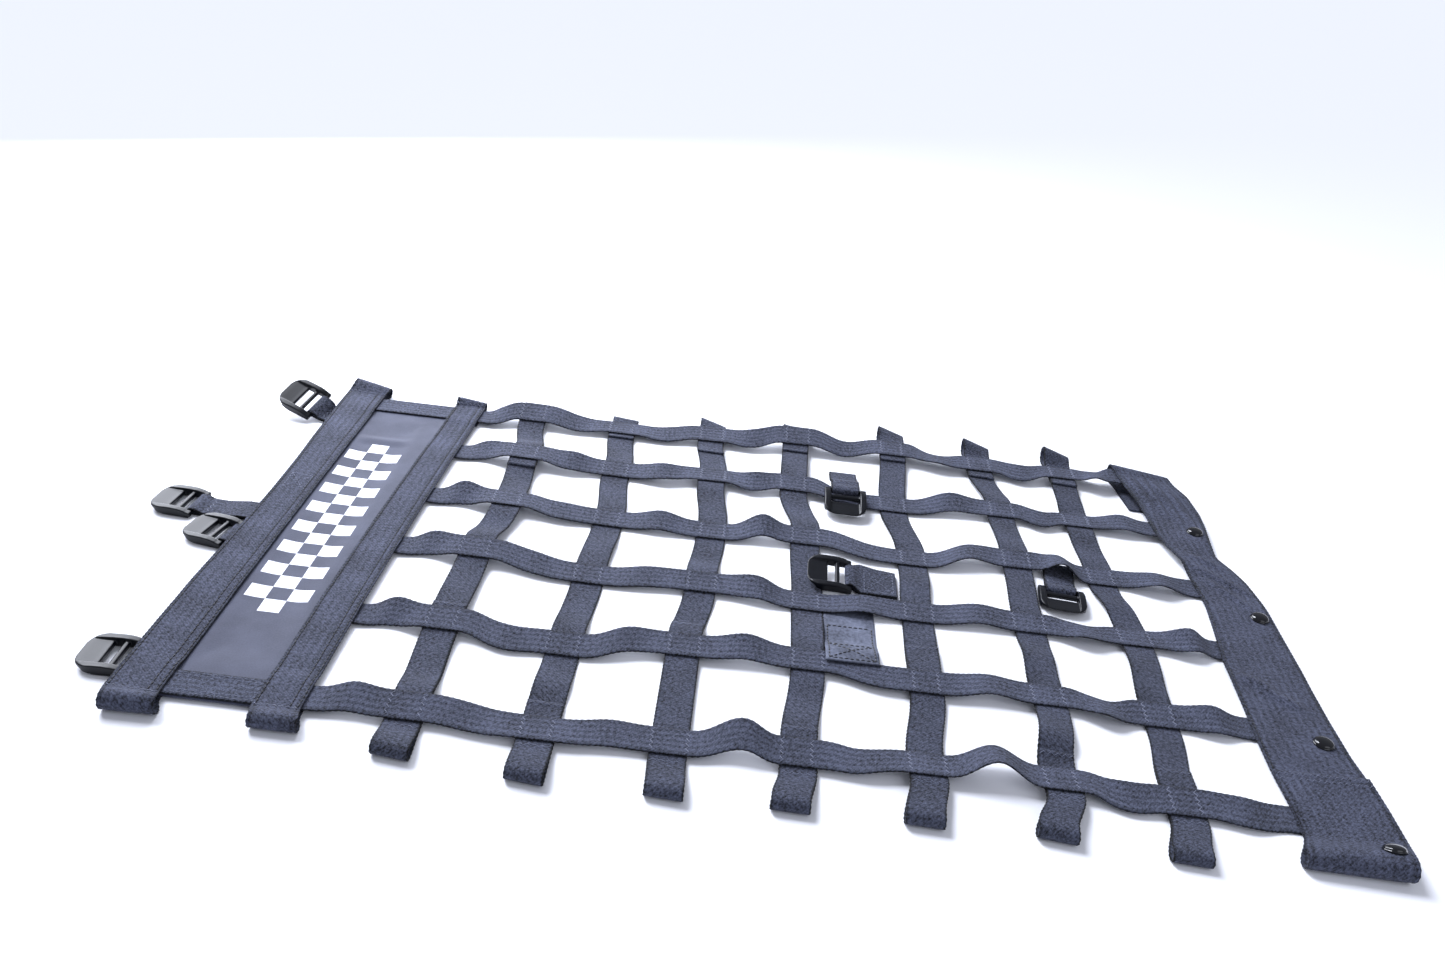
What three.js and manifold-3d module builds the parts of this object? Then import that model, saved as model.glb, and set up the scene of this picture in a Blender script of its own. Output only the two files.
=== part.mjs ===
// A racing window net, lying slack on a flat surface. +X runs along the net, from the solid panel to
// the end band, +Y to the far edge and +Z up. All sizes are in millimetres.
//
// Six lengthwise straps of one inch webbing are sewn on top of seven crosswise ones. The crosswise
// straps are folded back on themselves at both ends, which leaves a rod loop past each long edge.
// The tables are in the net's own grid, whose zero is where the first crosswise strap meets the
// nearest lengthwise one. The finished net is moved so that its outline is centred on the origin.
import * as THREE from "three";
import Module from "manifold-3d";

const wasm = await Module();
wasm.setup();

// Driving dimensions
const webbing = { width: 25.4, thickness: 1.4 };
const clearance = 0.3;                    // between pieces that are sewn or laid together
const plyGap = 0.4;                       // between two layers of one strap
const seat = { margin: 2.0 };             // flat cloth past each edge of a crossing
const panel = { thickness: 1.2, left: -177, right: -77, near: -22, far: 447, raised: 1.9 };
const band = { thickness: 1.6, innerLeft: -98, innerRight: -66, outerLeft: -195, outerRight: -159 };
const loopSteps = 6;                      // facets round the end of a rod loop
const spanSteps = [0.2, 0.4, 0.6, 0.8];   // stations between two crossings, as shares of the span
const cap = { radius: 7.5, height: 4.2, rim: 1.0, sides: 16, rings: 4, dropFrom: 100 };
const buckle = { width: 38, length: 37, slotWidth: 26.6, overlap: 1, tipRadius: 12, rearRadius: 2.5 };
const tab = { thickness: 1.2, left: 280, right: 320 };

const halfWebbing = webbing.width / 2;
const halfSeat = halfWebbing + seat.margin;
const lowest = webbing.thickness / 2;     // middle of a strap that lies on the surface
const degrees = Math.PI / 180;

// Crosswise straps, one row each: where the strap is at each lengthwise strap from the far one to the
// near one, and how far its folded-back ends reach, from the near loop and from the far loop.
const crosswise = [
  { x: [-3, 5, 7, -1, -2, 0], nearLapEnd: 116, farLapEnd: 335 },
  { x: [85, 90, 95, 92, 89, 88], nearLapEnd: 18, farLapEnd: 418 },
  { x: [172, 178, 184, 181, 175, 175], nearLapEnd: 131, farLapEnd: 408 },
  { x: [255, 254, 265, 267, 267, 261], nearLapEnd: 22, farLapEnd: 429 },
  { x: [351, 347, 357, 355, 354, 347], nearLapEnd: 135, farLapEnd: 433 },
  { x: [437, 446, 448, 445, 444, 437], nearLapEnd: 26, farLapEnd: 424 },
  { x: [518, 518, 521, 529, 524, 517], nearLapEnd: 27, farLapEnd: 424 },
];

// Lengthwise straps, far one first, one column for each crosswise strap: where the strap is, how high
// the crossing's lowest corner is off the surface, and the crossing's slope towards the near edge.
const lengthwise = [
  {
    y: [440, 440, 445, 453, 454, 448, 449],
    lift: [3, 0.4, 1.5, 5, 5, 2.5, 3],
    slope: [14, -2, 6, 14, 5, 3, -3],
  },
  {
    y: [358, 357, 363, 364, 353, 362, 361],
    lift: [6, 0.5, 3, 3.5, 0, 3, 1],
    slope: [2, 4, -3, 6, 2, 4, -4],
  },
  {
    y: [274, 269, 269, 274, 262, 275, 268],
    lift: [5, 0, 0, 2, 0, 3, 0],
    slope: [-3, 2, 2, 5, -2, 5, 2],
  },
  {
    y: [190, 179, 184, 178, 179, 182, 179],
    lift: [5, 0, 1.5, 0, 0.5, 1, 0.5],
    slope: [6, 3, 5, 0, 3, 4, -4],
  },
  {
    y: [92, 83, 96, 97, 86, 88, 82],
    lift: [2, 0, 1, 2.5, 1, 2.5, 0],
    slope: [5, 6, 4, 2, 3, -2, 6],
  },
  {
    y: [-8, -13, -10, -7, -4, -3, -10],
    lift: [0.5, 0, 0, 0, 0, 0, 0],
    slope: [7, -3, 1, 6, -8, -7, 4],
  },
];

// How a lengthwise strap runs between two crossings, left one first: how far its middle stands off the
// surface, where along the span that is, how far it leans to the near side, and how far it strays in Y.
const lengthwiseSpans = [
  [
    { rise: 3, at: 0.4, lean: 8, stray: -3 },
    { rise: 3, at: 0.5, lean: 4, stray: -3 },
    { rise: 2.5, at: 0.5, lean: 5, stray: -4 },
    { rise: 4, at: 0.5, lean: 8, stray: -5 },
    { rise: 3, at: 0.5, lean: 0, stray: -4 },
    { rise: 5, at: 0.5, lean: -14, stray: -4 },
    { rise: 4, at: 0.45, lean: 10, stray: -8 },
    { rise: 8, at: 0.45, lean: -16, stray: -5 },
  ],
  [
    { rise: 1, at: 0.4, lean: 14, stray: 3 },
    { rise: 5, at: 0.5, lean: 10, stray: -3 },
    { rise: 6, at: 0.5, lean: 6, stray: -4 },
    { rise: 4, at: 0.6, lean: 12, stray: -6 },
    { rise: 4.5, at: 0.4, lean: -6, stray: -8 },
    { rise: 5, at: 0.6, lean: 10, stray: 3 },
    { rise: 4, at: 0.5, lean: 5, stray: -8 },
    { rise: 7, at: 0.5, lean: 5, stray: 0 },
  ],
  [
    { rise: 1, at: 0.4, lean: 22, stray: 3 },
    { rise: 4, at: 0.5, lean: 4, stray: -3 },
    { rise: 4, at: 0.5, lean: 8, stray: 0 },
    { rise: 7, at: 0.6, lean: 12, stray: 3 },
    { rise: 4, at: 0.4, lean: 0, stray: -4 },
    { rise: 8, at: 0.6, lean: -6, stray: 4 },
    { rise: 9, at: 0.5, lean: -18, stray: 0 },
    { rise: 7, at: 0.5, lean: -10, stray: -4 },
  ],
  [
    { rise: 1, at: 0.4, lean: 14, stray: 3 },
    { rise: 3, at: 0.5, lean: 5, stray: -2 },
    { rise: 3, at: 0.5, lean: 3, stray: 0 },
    { rise: 5, at: 0.6, lean: 10, stray: 0 },
    { rise: 5, at: 0.5, lean: -3, stray: 0 },
    { rise: 5, at: 0.6, lean: 0, stray: 2 },
    { rise: 4, at: 0.4, lean: -12, stray: -6 },
    { rise: 8, at: 0.6, lean: 12, stray: -4 },
  ],
  [
    { rise: 1, at: 0.4, lean: 16, stray: 3 },
    { rise: 2.5, at: 0.4, lean: 3, stray: -6 },
    { rise: 5, at: 0.5, lean: 5, stray: 2 },
    { rise: 6, at: 0.5, lean: 8, stray: 2 },
    { rise: 4, at: 0.5, lean: 0, stray: -3 },
    { rise: 6, at: 0.5, lean: -4, stray: 3 },
    { rise: 4, at: 0.4, lean: -14, stray: -7 },
    { rise: 5, at: 0.5, lean: 8, stray: -3 },
  ],
  [
    { rise: 4, at: 0.5, lean: 8, stray: 2 },
    { rise: 3.5, at: 0.5, lean: 3, stray: -1 },
    { rise: 4, at: 0.5, lean: 4, stray: 1 },
    { rise: 9, at: 0.65, lean: 10, stray: 5 },
    { rise: 4, at: 0.4, lean: -2, stray: -3 },
    { rise: 12, at: 0.5, lean: -8, stray: 6 },
    { rise: 2.5, at: 0.45, lean: 10, stray: -5 },
    { rise: 3, at: 0.4, lean: 6, stray: -4 },
  ],
];

// How a crosswise strap runs between two crossings, from the far span to the near one: the height of
// its underside in the middle of the span, where that is, and how far it leans to the right.
const crosswiseSpans = [
  [
    { rise: 0, at: 0.5, lean: 0 },
    { rise: 2, at: 0.5, lean: 4 },
    { rise: 3, at: 0.5, lean: -3 },
    { rise: 3, at: 0.4, lean: 5 },
    { rise: 0, at: 0.6, lean: 0 },
  ],
  [
    { rise: 0, at: 0.5, lean: 3 },
    { rise: 0, at: 0.5, lean: 0 },
    { rise: 1, at: 0.5, lean: -4 },
    { rise: 0, at: 0.5, lean: 0 },
    { rise: 2, at: 0.5, lean: 5 },
  ],
  [
    { rise: 2, at: 0.5, lean: 3 },
    { rise: 1.5, at: 0.4, lean: 2 },
    { rise: 0, at: 0.5, lean: 0 },
    { rise: 0, at: 0.6, lean: 0 },
    { rise: 0, at: 0.5, lean: 2 },
  ],
  [
    { rise: 5, at: 0.4, lean: 4 },
    { rise: 2, at: 0.5, lean: 0 },
    { rise: 0, at: 0.5, lean: 0 },
    { rise: 2, at: 0.5, lean: -3 },
    { rise: 0, at: 0.35, lean: 0 },
  ],
  [
    { rise: 3, at: 0.3, lean: 0 },
    { rise: 0, at: 0.5, lean: 4 },
    { rise: 4.4, at: 0.5, lean: 0 },
    { rise: 0, at: 0.5, lean: -4 },
    { rise: 0, at: 0.3, lean: 0 },
  ],
  [
    { rise: 2, at: 0.5, lean: 5 },
    { rise: 3, at: 0.5, lean: 6 },
    { rise: 2, at: 0.5, lean: 5 },
    { rise: 3, at: 0.5, lean: 8 },
    { rise: 7, at: 0.55, lean: 9 },
  ],
  [
    { rise: 2, at: 0.6, lean: 6 },
    { rise: 0, at: 0.5, lean: 3 },
    { rise: 2, at: 0.5, lean: 5 },
    { rise: 3, at: 0.4, lean: 8 },
    { rise: 0, at: 0.6, lean: 3 },
  ],
];

// Rod loops of the crosswise straps: how far each side reaches past the last crossing's flat seat, and
// how high the middle of the loop's upper layer stands there, on the left edge and on the right edge.
// A loop drifts sideways, to the right where the drift is above zero, on its way to the tip.
const nearLoops = [
  { reachLeft: 31, reachRight: 34, tallLeft: 10, tallRight: 9.5, drift: 1 },
  { reachLeft: 34, reachRight: 37, tallLeft: 9.5, tallRight: 10, drift: 0 },
  { reachLeft: 37, reachRight: 39, tallLeft: 9, tallRight: 10, drift: 1 },
  { reachLeft: 39, reachRight: 40, tallLeft: 9.5, tallRight: 9.5, drift: -5 },
  { reachLeft: 41, reachRight: 42, tallLeft: 10.5, tallRight: 10, drift: -6 },
  { reachLeft: 40, reachRight: 43, tallLeft: 10.5, tallRight: 10.5, drift: -12 },
  { reachLeft: 40, reachRight: 42, tallLeft: 9, tallRight: 9.5, drift: -9 },
];
const farLoops = [
  { reachLeft: 16, reachRight: 14, tallLeft: 5, tallRight: 4.6, drift: 0 },
  { reachLeft: 13, reachRight: 9, tallLeft: 5, tallRight: 4, drift: 0 },
  { reachLeft: 18, reachRight: 9, tallLeft: 11, tallRight: 6, drift: 0 },
  { reachLeft: 17, reachRight: 12, tallLeft: 11, tallRight: 7, drift: 0 },
  { reachLeft: 27, reachRight: 20, tallLeft: 17, tallRight: 10, drift: 0 },
  { reachLeft: 28, reachRight: 20, tallLeft: 17, tallRight: 10, drift: 0 },
  { reachLeft: 28, reachRight: 20, tallLeft: 18, tallRight: 11, drift: 0 },
];

// The panel side's bands. Their loops are folded under, round the panel's border straps. The outer
// one is lifted along its left edge by the tie straps under it, and its returns end short of them.
const panelBands = [
  {
    name: "band_inner", leftFar: -82, rightFar: -53, leftNear: band.innerLeft, rightNear: band.innerRight,
    leftLift: 0, bow: 0, nearReturn: 30, farReturn: 30,
    near: { reachLeft: 20, reachRight: 20, tallLeft: 11.5, tallRight: 11.5, drift: 4 },
    far: { reachLeft: 12, reachRight: 9, tallLeft: 12, tallRight: 9, drift: 0 },
  },
  {
    name: "band_outer", leftFar: -189, rightFar: -153, leftNear: band.outerLeft, rightNear: band.outerRight,
    leftLift: 3.4, bow: 9, nearReturn: 16, farReturn: 16,
    near: { reachLeft: 20, reachRight: 19, tallLeft: 14, tallRight: 14, drift: 5 },
    far: { reachLeft: 24, reachRight: 16, tallLeft: 14, tallRight: 9, drift: 3 },
  },
];
const panelBorders = { near: -9, far: 431 };    // middle lines of the two border straps on the panel
const bandStep = 24;

// The end band, far end first, one row for each crease or bend: where its left and right edges are and
// how high the middle of the cloth stands there.
const endBand = [
  { y: 449, left: 571, leftHigh: 14, right: 629, rightHigh: 9 },
  { y: 428, left: 576, leftHigh: 12, right: 638, rightHigh: 8 },
  { y: 398, left: 584, leftHigh: 9, right: 642, rightHigh: 6 },
  { y: 374, left: 586, leftHigh: 7, right: 640, rightHigh: 7 },
  { y: 346, left: 588, leftHigh: 7, right: 636, rightHigh: 8 },
  { y: 322, left: 593, leftHigh: 8, right: 636, rightHigh: 4 },
  { y: 304, left: 598, leftHigh: 9, right: 646, rightHigh: 3 },
  { y: 284, left: 600, leftHigh: 5, right: 651, rightHigh: 4 },
  { y: 255, left: 603, leftHigh: 3.6, right: 655, rightHigh: 4 },
  { y: 240, left: 603, leftHigh: 3.4, right: 656, rightHigh: 4 },
  { y: 210, left: 600, leftHigh: 3.4, right: 656, rightHigh: 3.4 },
  { y: 160, left: 594, leftHigh: 3.6, right: 656, rightHigh: 3 },
  { y: 140, left: 592, leftHigh: 6, right: 656, rightHigh: 2 },
  { y: 100, left: 592, leftHigh: 3.4, right: 655, rightHigh: 2.6 },
  { y: 58, left: 590, leftHigh: 3.4, right: 655, rightHigh: 3.4 },
  { y: 34, left: 590, leftHigh: 2.6, right: 657, rightHigh: 4 },
  { y: 4, left: 591, leftHigh: 2.8, right: 659, rightHigh: 2.8 },
  { y: -25, left: 591, leftHigh: 2.6, right: 659, rightHigh: 2.6 },
];
const endBandLap = { end: 34, gap: 0.7 };
const endBandLoops = {
  near: { reachLeft: 33, reachRight: 36, tallLeft: 13, tallRight: 17, drift: -10, backShares: [0.86, 0.14] },
  far: { reachLeft: 20, reachRight: 15, tallLeft: 18, tallRight: 11, drift: -3 },
};
const endBandReturn = 48;
const endStrapInset = { start: -3, length: 27 };

// Snap caps on the end band
const caps = [
  { x: 624, y: 360 },
  { x: 643, y: 226 },
  { x: 641, y: 72 },
  { x: 638, y: -40 },
];

// Tie straps with their buckles. Each row gives the middle of the buckle's strap bar, the way the
// buckle points in plan, its roll about that line and its pitch, tip up, then how its doubled strap
// leads back from the bar: how far back, how far down in the buckle's own frame, and its turn there.
const ties = [
  { name: "near", x: -191, y: 12, z: 0, turn: 182, roll: 0, pitch: 0, width: webbing.width,
    tail: [{ back: 10, drop: 0, roll: 0 }] },
  { name: "mid_right", x: -193, y: 175, z: 0, turn: 170, roll: 0, pitch: 0, width: webbing.width,
    tail: [{ back: 14, drop: 0, roll: 0 }] },
  { name: "mid_left", x: -236, y: 214, z: 0, turn: 176, roll: 0, pitch: 0, width: webbing.width,
    tail: [{ back: 20, drop: 0, roll: 0 }, { back: 38, drop: -2.8, roll: 0 }, { back: 50, drop: -2.8, roll: 0 }] },
  { name: "far", x: -203, y: 403, z: 6.3, turn: 166, roll: -17, pitch: 15, width: webbing.width,
    tail: [{ back: 11, drop: 3.2, roll: 17 }, { back: 21, drop: 0.8, roll: 17 }] },
  { name: "centre_far", x: 301, y: 354, z: 9.6, turn: 270, roll: 0, pitch: -13, width: webbing.width,
    tail: [{ back: 14, drop: 1.5, roll: 0 }, { back: 28, drop: 12.6, roll: 0 }, { back: 46, drop: 19.8, roll: 0 }] },
  { name: "centre_near", x: 303, y: 216, z: 3.1, turn: 180, roll: -8, pitch: 2, width: 36,
    tail: [{ back: 20, drop: 1.1, roll: 5 }, { back: 37.5, drop: 1.5, roll: 8 }] },
  { name: "side", x: 481, y: 240, z: 0, turn: 264, roll: 0, pitch: 0, width: webbing.width,
    tail: [{ back: 12, drop: 0, roll: 0 }, { back: 24, drop: -0.6, roll: 0 }, { back: 38, drop: -1.1, roll: 0 }] },
];

// The light tab in the middle, from its near end on the fifth lengthwise strap to the far one
const tabRows = [
  { y: 96, high: 8.1 },
  { y: 110, high: 8.1 },
  { y: 119, high: 5 },
  { y: 130, high: 1.2 },
  { y: 150, high: 0.8 },
  { y: 176, high: 0.8 },
];

function point(x, y, z) {
  return new THREE.Vector3(x, y, z);
}

// Cubic curve through values at two places, with the slope at each
function hermite(place, start, end) {
  const width = end.at - start.at;
  const u = (place - start.at) / width;
  const u2 = u * u;
  const u3 = u2 * u;
  return (2 * u3 - 3 * u2 + 1) * start.value + (u3 - 2 * u2 + u) * width * start.slope
    + (3 * u2 - 2 * u3) * end.value + (u3 - u2) * width * end.slope;
}

// A curve through a start, a middle where it runs level, and an end
function humped(place, start, middle, end) {
  return place < middle.at ? hermite(place, start, middle) : hermite(place, middle, end);
}

// One closed slab of cloth. A row is one line of points across its middle surface, left to right, and
// the rows follow the strap. Each face is offset squarely, so the cloth keeps its thickness at a bend.
function slab(rows, thickness) {
  const lanes = rows[0].length;
  const last = rows.length - 1;
  const across = rows.map((row) => row.map((spot, lane) => {
    const from = row[Math.max(lane - 1, 0)];
    const to = row[Math.min(lane + 1, lanes - 1)];
    return to.clone().sub(from).normalize();
  }));
  const faceNormal = (index, lane) => {
    const along = rows[index + 1][lane].clone().sub(rows[index][lane]);
    const middle = across[index][lane].clone().add(across[index + 1][lane]);
    return middle.cross(along).normalize();
  };
  const positions = [];
  rows.forEach((row, index) => row.forEach((spot, lane) => {
    const before = faceNormal(Math.max(index - 1, 0), lane);
    const after = faceNormal(Math.min(index, last - 1), lane);
    const offset = before.clone().add(after).multiplyScalar(thickness / 2 / (1 + before.dot(after)));
    positions.push(...spot.clone().add(offset).toArray(), ...spot.clone().sub(offset).toArray());
  }));
  const top = (index, lane) => 2 * (index * lanes + lane);
  const under = (index, lane) => top(index, lane) + 1;
  const faces = [];
  const quad = (a, b, c, d) => faces.push(a, b, c, a, c, d);
  for (let index = 0; index < last; index += 1) {
    for (let lane = 0; lane < lanes - 1; lane += 1) {
      quad(top(index, lane), top(index, lane + 1), top(index + 1, lane + 1), top(index + 1, lane));
      quad(under(index, lane), under(index + 1, lane), under(index + 1, lane + 1), under(index, lane + 1));
    }
    const edge = lanes - 1;
    quad(top(index, edge), under(index, edge), under(index + 1, edge), top(index + 1, edge));
    quad(top(index, 0), top(index + 1, 0), under(index + 1, 0), under(index, 0));
  }
  for (let lane = 0; lane < lanes - 1; lane += 1) {
    quad(top(0, lane), under(0, lane), under(0, lane + 1), top(0, lane + 1));
    quad(top(last, lane), top(last, lane + 1), under(last, lane + 1), under(last, lane));
  }
  const geometry = new THREE.BufferGeometry();
  geometry.setAttribute("position", new THREE.Float32BufferAttribute(positions, 3));
  geometry.setIndex(faces);
  geometry.computeVertexNormals();
  return geometry;
}

// Crossings: the plane on which a lengthwise strap lies over a crosswise one
function layersAt(strap, y) {
  return y < strap.nearLapEnd || y > strap.farLapEnd ? 2 : 1;
}

function crossing(row, column) {
  const strap = crosswise[column];
  const line = lengthwise[row];
  const x = strap.x[row];
  const y = line.y[column];
  const previous = line.lift[Math.max(column - 1, 0)];
  const next = line.lift[Math.min(column + 1, line.lift.length - 1)];
  const slopeX = 0.5 * (next - previous) / (crosswise[1].x[0] - crosswise[0].x[0]) / 2;
  const slopeY = Math.tan(line.slope[column] * degrees);
  const base = line.lift[column] + lowest + (Math.abs(slopeX) + Math.abs(slopeY)) * halfSeat;
  const layers = layersAt(strap, y);
  const deck = base + (layers - 1) * (webbing.thickness + plyGap);
  const height = (level) => (atX, atY) => level + slopeX * (atX - x) + slopeY * (atY - y);
  return {
    x, y, slopeX, slopeY,
    main: height(base),
    over: height(deck + webbing.thickness + clearance),
  };
}

const crossings = lengthwise.map((line, row) => crosswise.map((strap, column) => crossing(row, column)));

// A row across a strap that runs along Y, at heights given by a function
function rowAlongY(x, y, heightAt, halfWidth = halfWebbing) {
  return [-1, 1].map((side) => point(x + side * halfWidth, y, heightAt(x + side * halfWidth, y)));
}

// A row across a strap that runs along X, its left side being the far one
function rowAlongX(x, y, heightAt) {
  return [1, -1].map((side) => point(x, y + side * halfWebbing, heightAt(x, y + side * halfWebbing)));
}

// The main layer of a crosswise strap, from the near seat to the far one
function crosswiseMain(column) {
  const strap = crosswise[column];
  const rows = [];
  for (let row = lengthwise.length - 1; row >= 0; row -= 1) {
    const here = crossings[row][column];
    rows.push(rowAlongY(here.x, here.y - halfSeat, here.main));
    rows.push(rowAlongY(here.x, here.y + halfSeat, here.main));
    if (row > 0) {
      const next = crossings[row - 1][column];
      const shape = crosswiseSpans[column][row - 1];
      const start = { at: here.y + halfSeat, slope: here.slopeY };
      const end = { at: next.y - halfSeat, slope: next.slopeY };
      const at = start.at + (1 - shape.at) * (end.at - start.at);
      spanSteps.forEach((share) => {
        const y = start.at + share * (end.at - start.at);
        const x = here.x + (next.x - here.x) * share * share * (3 - 2 * share);
        const lean = shape.lean * degrees * Math.sin(Math.PI * share);
        const floor = lowest + Math.abs(Math.sin(lean)) * halfWebbing;
        const middle = humped(y,
          { ...start, value: here.main(here.x, start.at) },
          { at, value: floor + shape.rise, slope: 0 },
          { ...end, value: next.main(next.x, end.at) });
        const high = Math.max(middle, floor);
        const sideSlope = here.slopeX + (next.slopeX - here.slopeX) * share - Math.tan(lean);
        rows.push(rowAlongY(x, y, (atX) => Math.max(high + sideSlope * (atX - x), lowest)));
      });
    }
  }
  return rows;
}

// The upper, folded-back layer over the main one, from the lap's end to the loop
function lap(mainRows, keep) {
  const raised = webbing.thickness + plyGap;
  return mainRows.filter(keep).map((row) => row.map((spot) => spot.clone().setZ(spot.z + raised)));
}

// A rod loop past a seat. Each side runs out on the surface, round the end and back over. The result
// starts at the lower layer's seat and ends at the upper layer's.
function rodLoop(lowerRow, upperRow, direction, loop, options = {}) {
  const floor = options.floor ?? lowest;
  const sides = [
    { reach: loop.reachLeft, tall: loop.tallLeft },
    { reach: loop.reachRight, tall: loop.tallRight },
  ];
  const outShares = [0.3, 0.65, 1];
  const backShares = loop.backShares ?? [0.62, 0.3];
  const columns = sides.map((side, index) => {
    const lower = lowerRow[index === 0 ? 0 : lowerRow.length - 1];
    const upper = upperRow[index === 0 ? 0 : upperRow.length - 1];
    const radius = (side.tall - floor) / 2;
    const straight = side.reach - radius;
    const drift = (share) => loop.drift * smoothStep(share, 0, 1);
    const spots = outShares.map((share) => {
      const drop = Math.max(lower.z + (floor - lower.z) * smoothStep(share, 0, 1), floor);
      return point(lower.x + drift(share), lower.y + direction * straight * share, drop);
    });
    for (let step = 1; step < loopSteps; step += 1) {
      const angle = Math.PI * (step / loopSteps - 0.5);
      const out = straight + radius * Math.cos(angle);
      const high = floor + radius + radius * Math.sin(angle);
      spots.push(point(lower.x + loop.drift, lower.y + direction * out, high));
    }
    spots.push(point(lower.x + loop.drift, lower.y + direction * straight, side.tall));
    backShares.forEach((share) => {
      const high = upper.z + (side.tall - upper.z) * smoothStep(share, 0, 1);
      spots.push(point(upper.x + drift(share), upper.y + direction * straight * share, high));
    });
    return spots;
  });
  return columns[0].map((left, index) => spread(left, columns[1][index], lowerRow.length));
}

// A row of evenly spaced points between two edges
function spread(left, right, lanes) {
  return Array.from({ length: lanes }, (unused, lane) => left.clone().lerp(right, lane / (lanes - 1)));
}

function crosswiseStrap(column) {
  const strap = crosswise[column];
  const main = crosswiseMain(column);
  const nearLap = lap(main, (row) => row[0].y < strap.nearLapEnd);
  const farLap = lap(main, (row) => row[0].y > strap.farLapEnd);
  const nearLoop = rodLoop(main[0], nearLap[0], -1, nearLoops[column]);
  const farLoop = rodLoop(main[main.length - 1], farLap[farLap.length - 1], 1, farLoops[column]);
  const rows = [...nearLap.reverse(), ...nearLoop.reverse(), ...main, ...farLoop, ...farLap.reverse()];
  return slab(rows, webbing.thickness);
}

// Lengthwise straps
function endBandEdge(y) {
  const after = endBand.findIndex((row) => row.y <= y);
  const low = endBand[Math.max(after, 1)];
  const high = endBand[Math.max(after, 1) - 1];
  const share = (y - low.y) / (high.y - low.y);
  const mix = (key) => low[key] + (high[key] - low[key]) * share;
  return { left: mix("left"), right: mix("right"), leftHigh: mix("leftHigh"), rightHigh: mix("rightHigh") };
}

function endBandHeight(x, y) {
  const edge = endBandEdge(y);
  const share = (x - edge.left) / (edge.right - edge.left);
  return edge.leftHigh + (edge.rightHigh - edge.leftHigh) * share;
}

function innerBandRight(y) {
  return panelBandEdge(panelBands[0], y + halfSeat, "right") + seat.margin;
}

function lengthwiseStrap(row) {
  const border = row === 0 || row === lengthwise.length - 1;
  const startY = row === 0 ? panelBorders.far : panelBorders.near;
  const first = crossings[row][0];
  const seats = crossings[row].map((here) => ({
    from: here.x - halfSeat, to: here.x + halfSeat, y: here.y, high: here.over, slope: here.slopeX,
  }));
  const bandUnderside = panel.raised + panel.thickness;
  const onPanel = bandUnderside + clearance + lowest;
  const underBand = bandUnderside - lowest;
  const startSeat = border
    ? { from: panel.left + 1, to: innerBandRight(startY), y: startY, high: () => onPanel, slope: 0 }
    : { from: panel.right + 3, to: innerBandRight(first.y), y: first.y, high: () => underBand, slope: 0 };
  const lastY = crossings[row][crosswise.length - 1].y;
  const under = band.thickness / 2 + webbing.thickness / 2 + endBandLap.gap;
  const edge = endBandEdge(lastY);
  const endSeat = {
    from: edge.left + endStrapInset.start,
    to: edge.left + endStrapInset.start + endStrapInset.length,
    y: lastY,
    high: (x, y) => Math.max(endBandHeight(x, y) - under, lowest),
    slope: 0,
  };
  const all = [startSeat, ...seats, endSeat];
  const rows = [];
  all.forEach((here, index) => {
    rows.push(rowAlongX(here.from, here.y, here.high));
    rows.push(rowAlongX(here.to, here.y, here.high));
    const next = all[index + 1];
    if (!next) return;
    const shape = lengthwiseSpans[row][index];
    const at = here.to + shape.at * (next.from - here.to);
    const tilt = (seatHere, x) => (seatHere.high(x, seatHere.y + 1) - seatHere.high(x, seatHere.y - 1)) / 2;
    spanSteps.forEach((share) => {
      const x = here.to + share * (next.from - here.to);
      const ease = share * share * (3 - 2 * share);
      const swell = Math.sin(Math.PI * share) ** 2;
      const y = here.y + (next.y - here.y) * ease + shape.stray * swell;
      const side = tilt(here, here.to) * (1 - ease) + tilt(next, next.from) * ease
        + Math.tan(shape.lean * degrees) * swell;
      const floor = lowest + clearance + Math.abs(side) * halfWebbing;
      const middle = humped(x,
        { at: here.to, value: here.high(here.to, here.y), slope: here.slope },
        { at, value: floor + shape.rise, slope: 0 },
        { at: next.from, value: next.high(next.from, next.y), slope: next.slope });
      const high = Math.max(middle, floor);
      rows.push(rowAlongX(x, y, (atX, atY) => high + side * (atY - y)));
    });
  });
  return slab(rows, webbing.thickness);
}

// The panel: it sags to the surface between its bands and borders
function smoothStep(value, from, to) {
  const share = Math.min(Math.max((value - from) / (to - from), 0), 1);
  return share * share * (3 - 2 * share);
}

const panelFold = { y: 362, height: 2.2, halfWidth: 9 };

function panelHeight(x, y) {
  const sagX = Math.min(smoothStep(x, -158, -140), smoothStep(-x, 100, 116));
  const sagY = Math.min(smoothStep(y, 12, 44), smoothStep(-y, -406, -376));
  const fold = panelFold.height * Math.max(1 - Math.abs(y - panelFold.y) / panelFold.halfWidth, 0);
  const sunk = Math.min(sagX, sagY);
  return panel.raised * (1 - sunk) + fold * sunk + panel.thickness / 2;
}

function panelSheet() {
  const linesX = [panel.left, -158, -149, -140, -116, -108, -100, panel.right];
  const linesY = [panel.near, 12, 28, 44, 130, 210, 290, 353, panelFold.y, 371, 391, 406, panel.far];
  return slab(linesY.map((y) => linesX.map((x) => point(x, y, panelHeight(x, y)))), panel.thickness);
}

// The two bands beside the panel
function panelBandEdge(shape, y, side) {
  const near = panelBorders.near - halfSeat;
  const far = panelBorders.far + halfSeat;
  const share = Math.min((y - near) / (far - near), 1);
  const bow = side === "left" ? shape.bow * Math.sin(Math.PI * share) ** 2 * share : 0;
  return shape[`${side}Near`] + (shape[`${side}Far`] - shape[`${side}Near`]) * share * share + bow;
}

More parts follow.
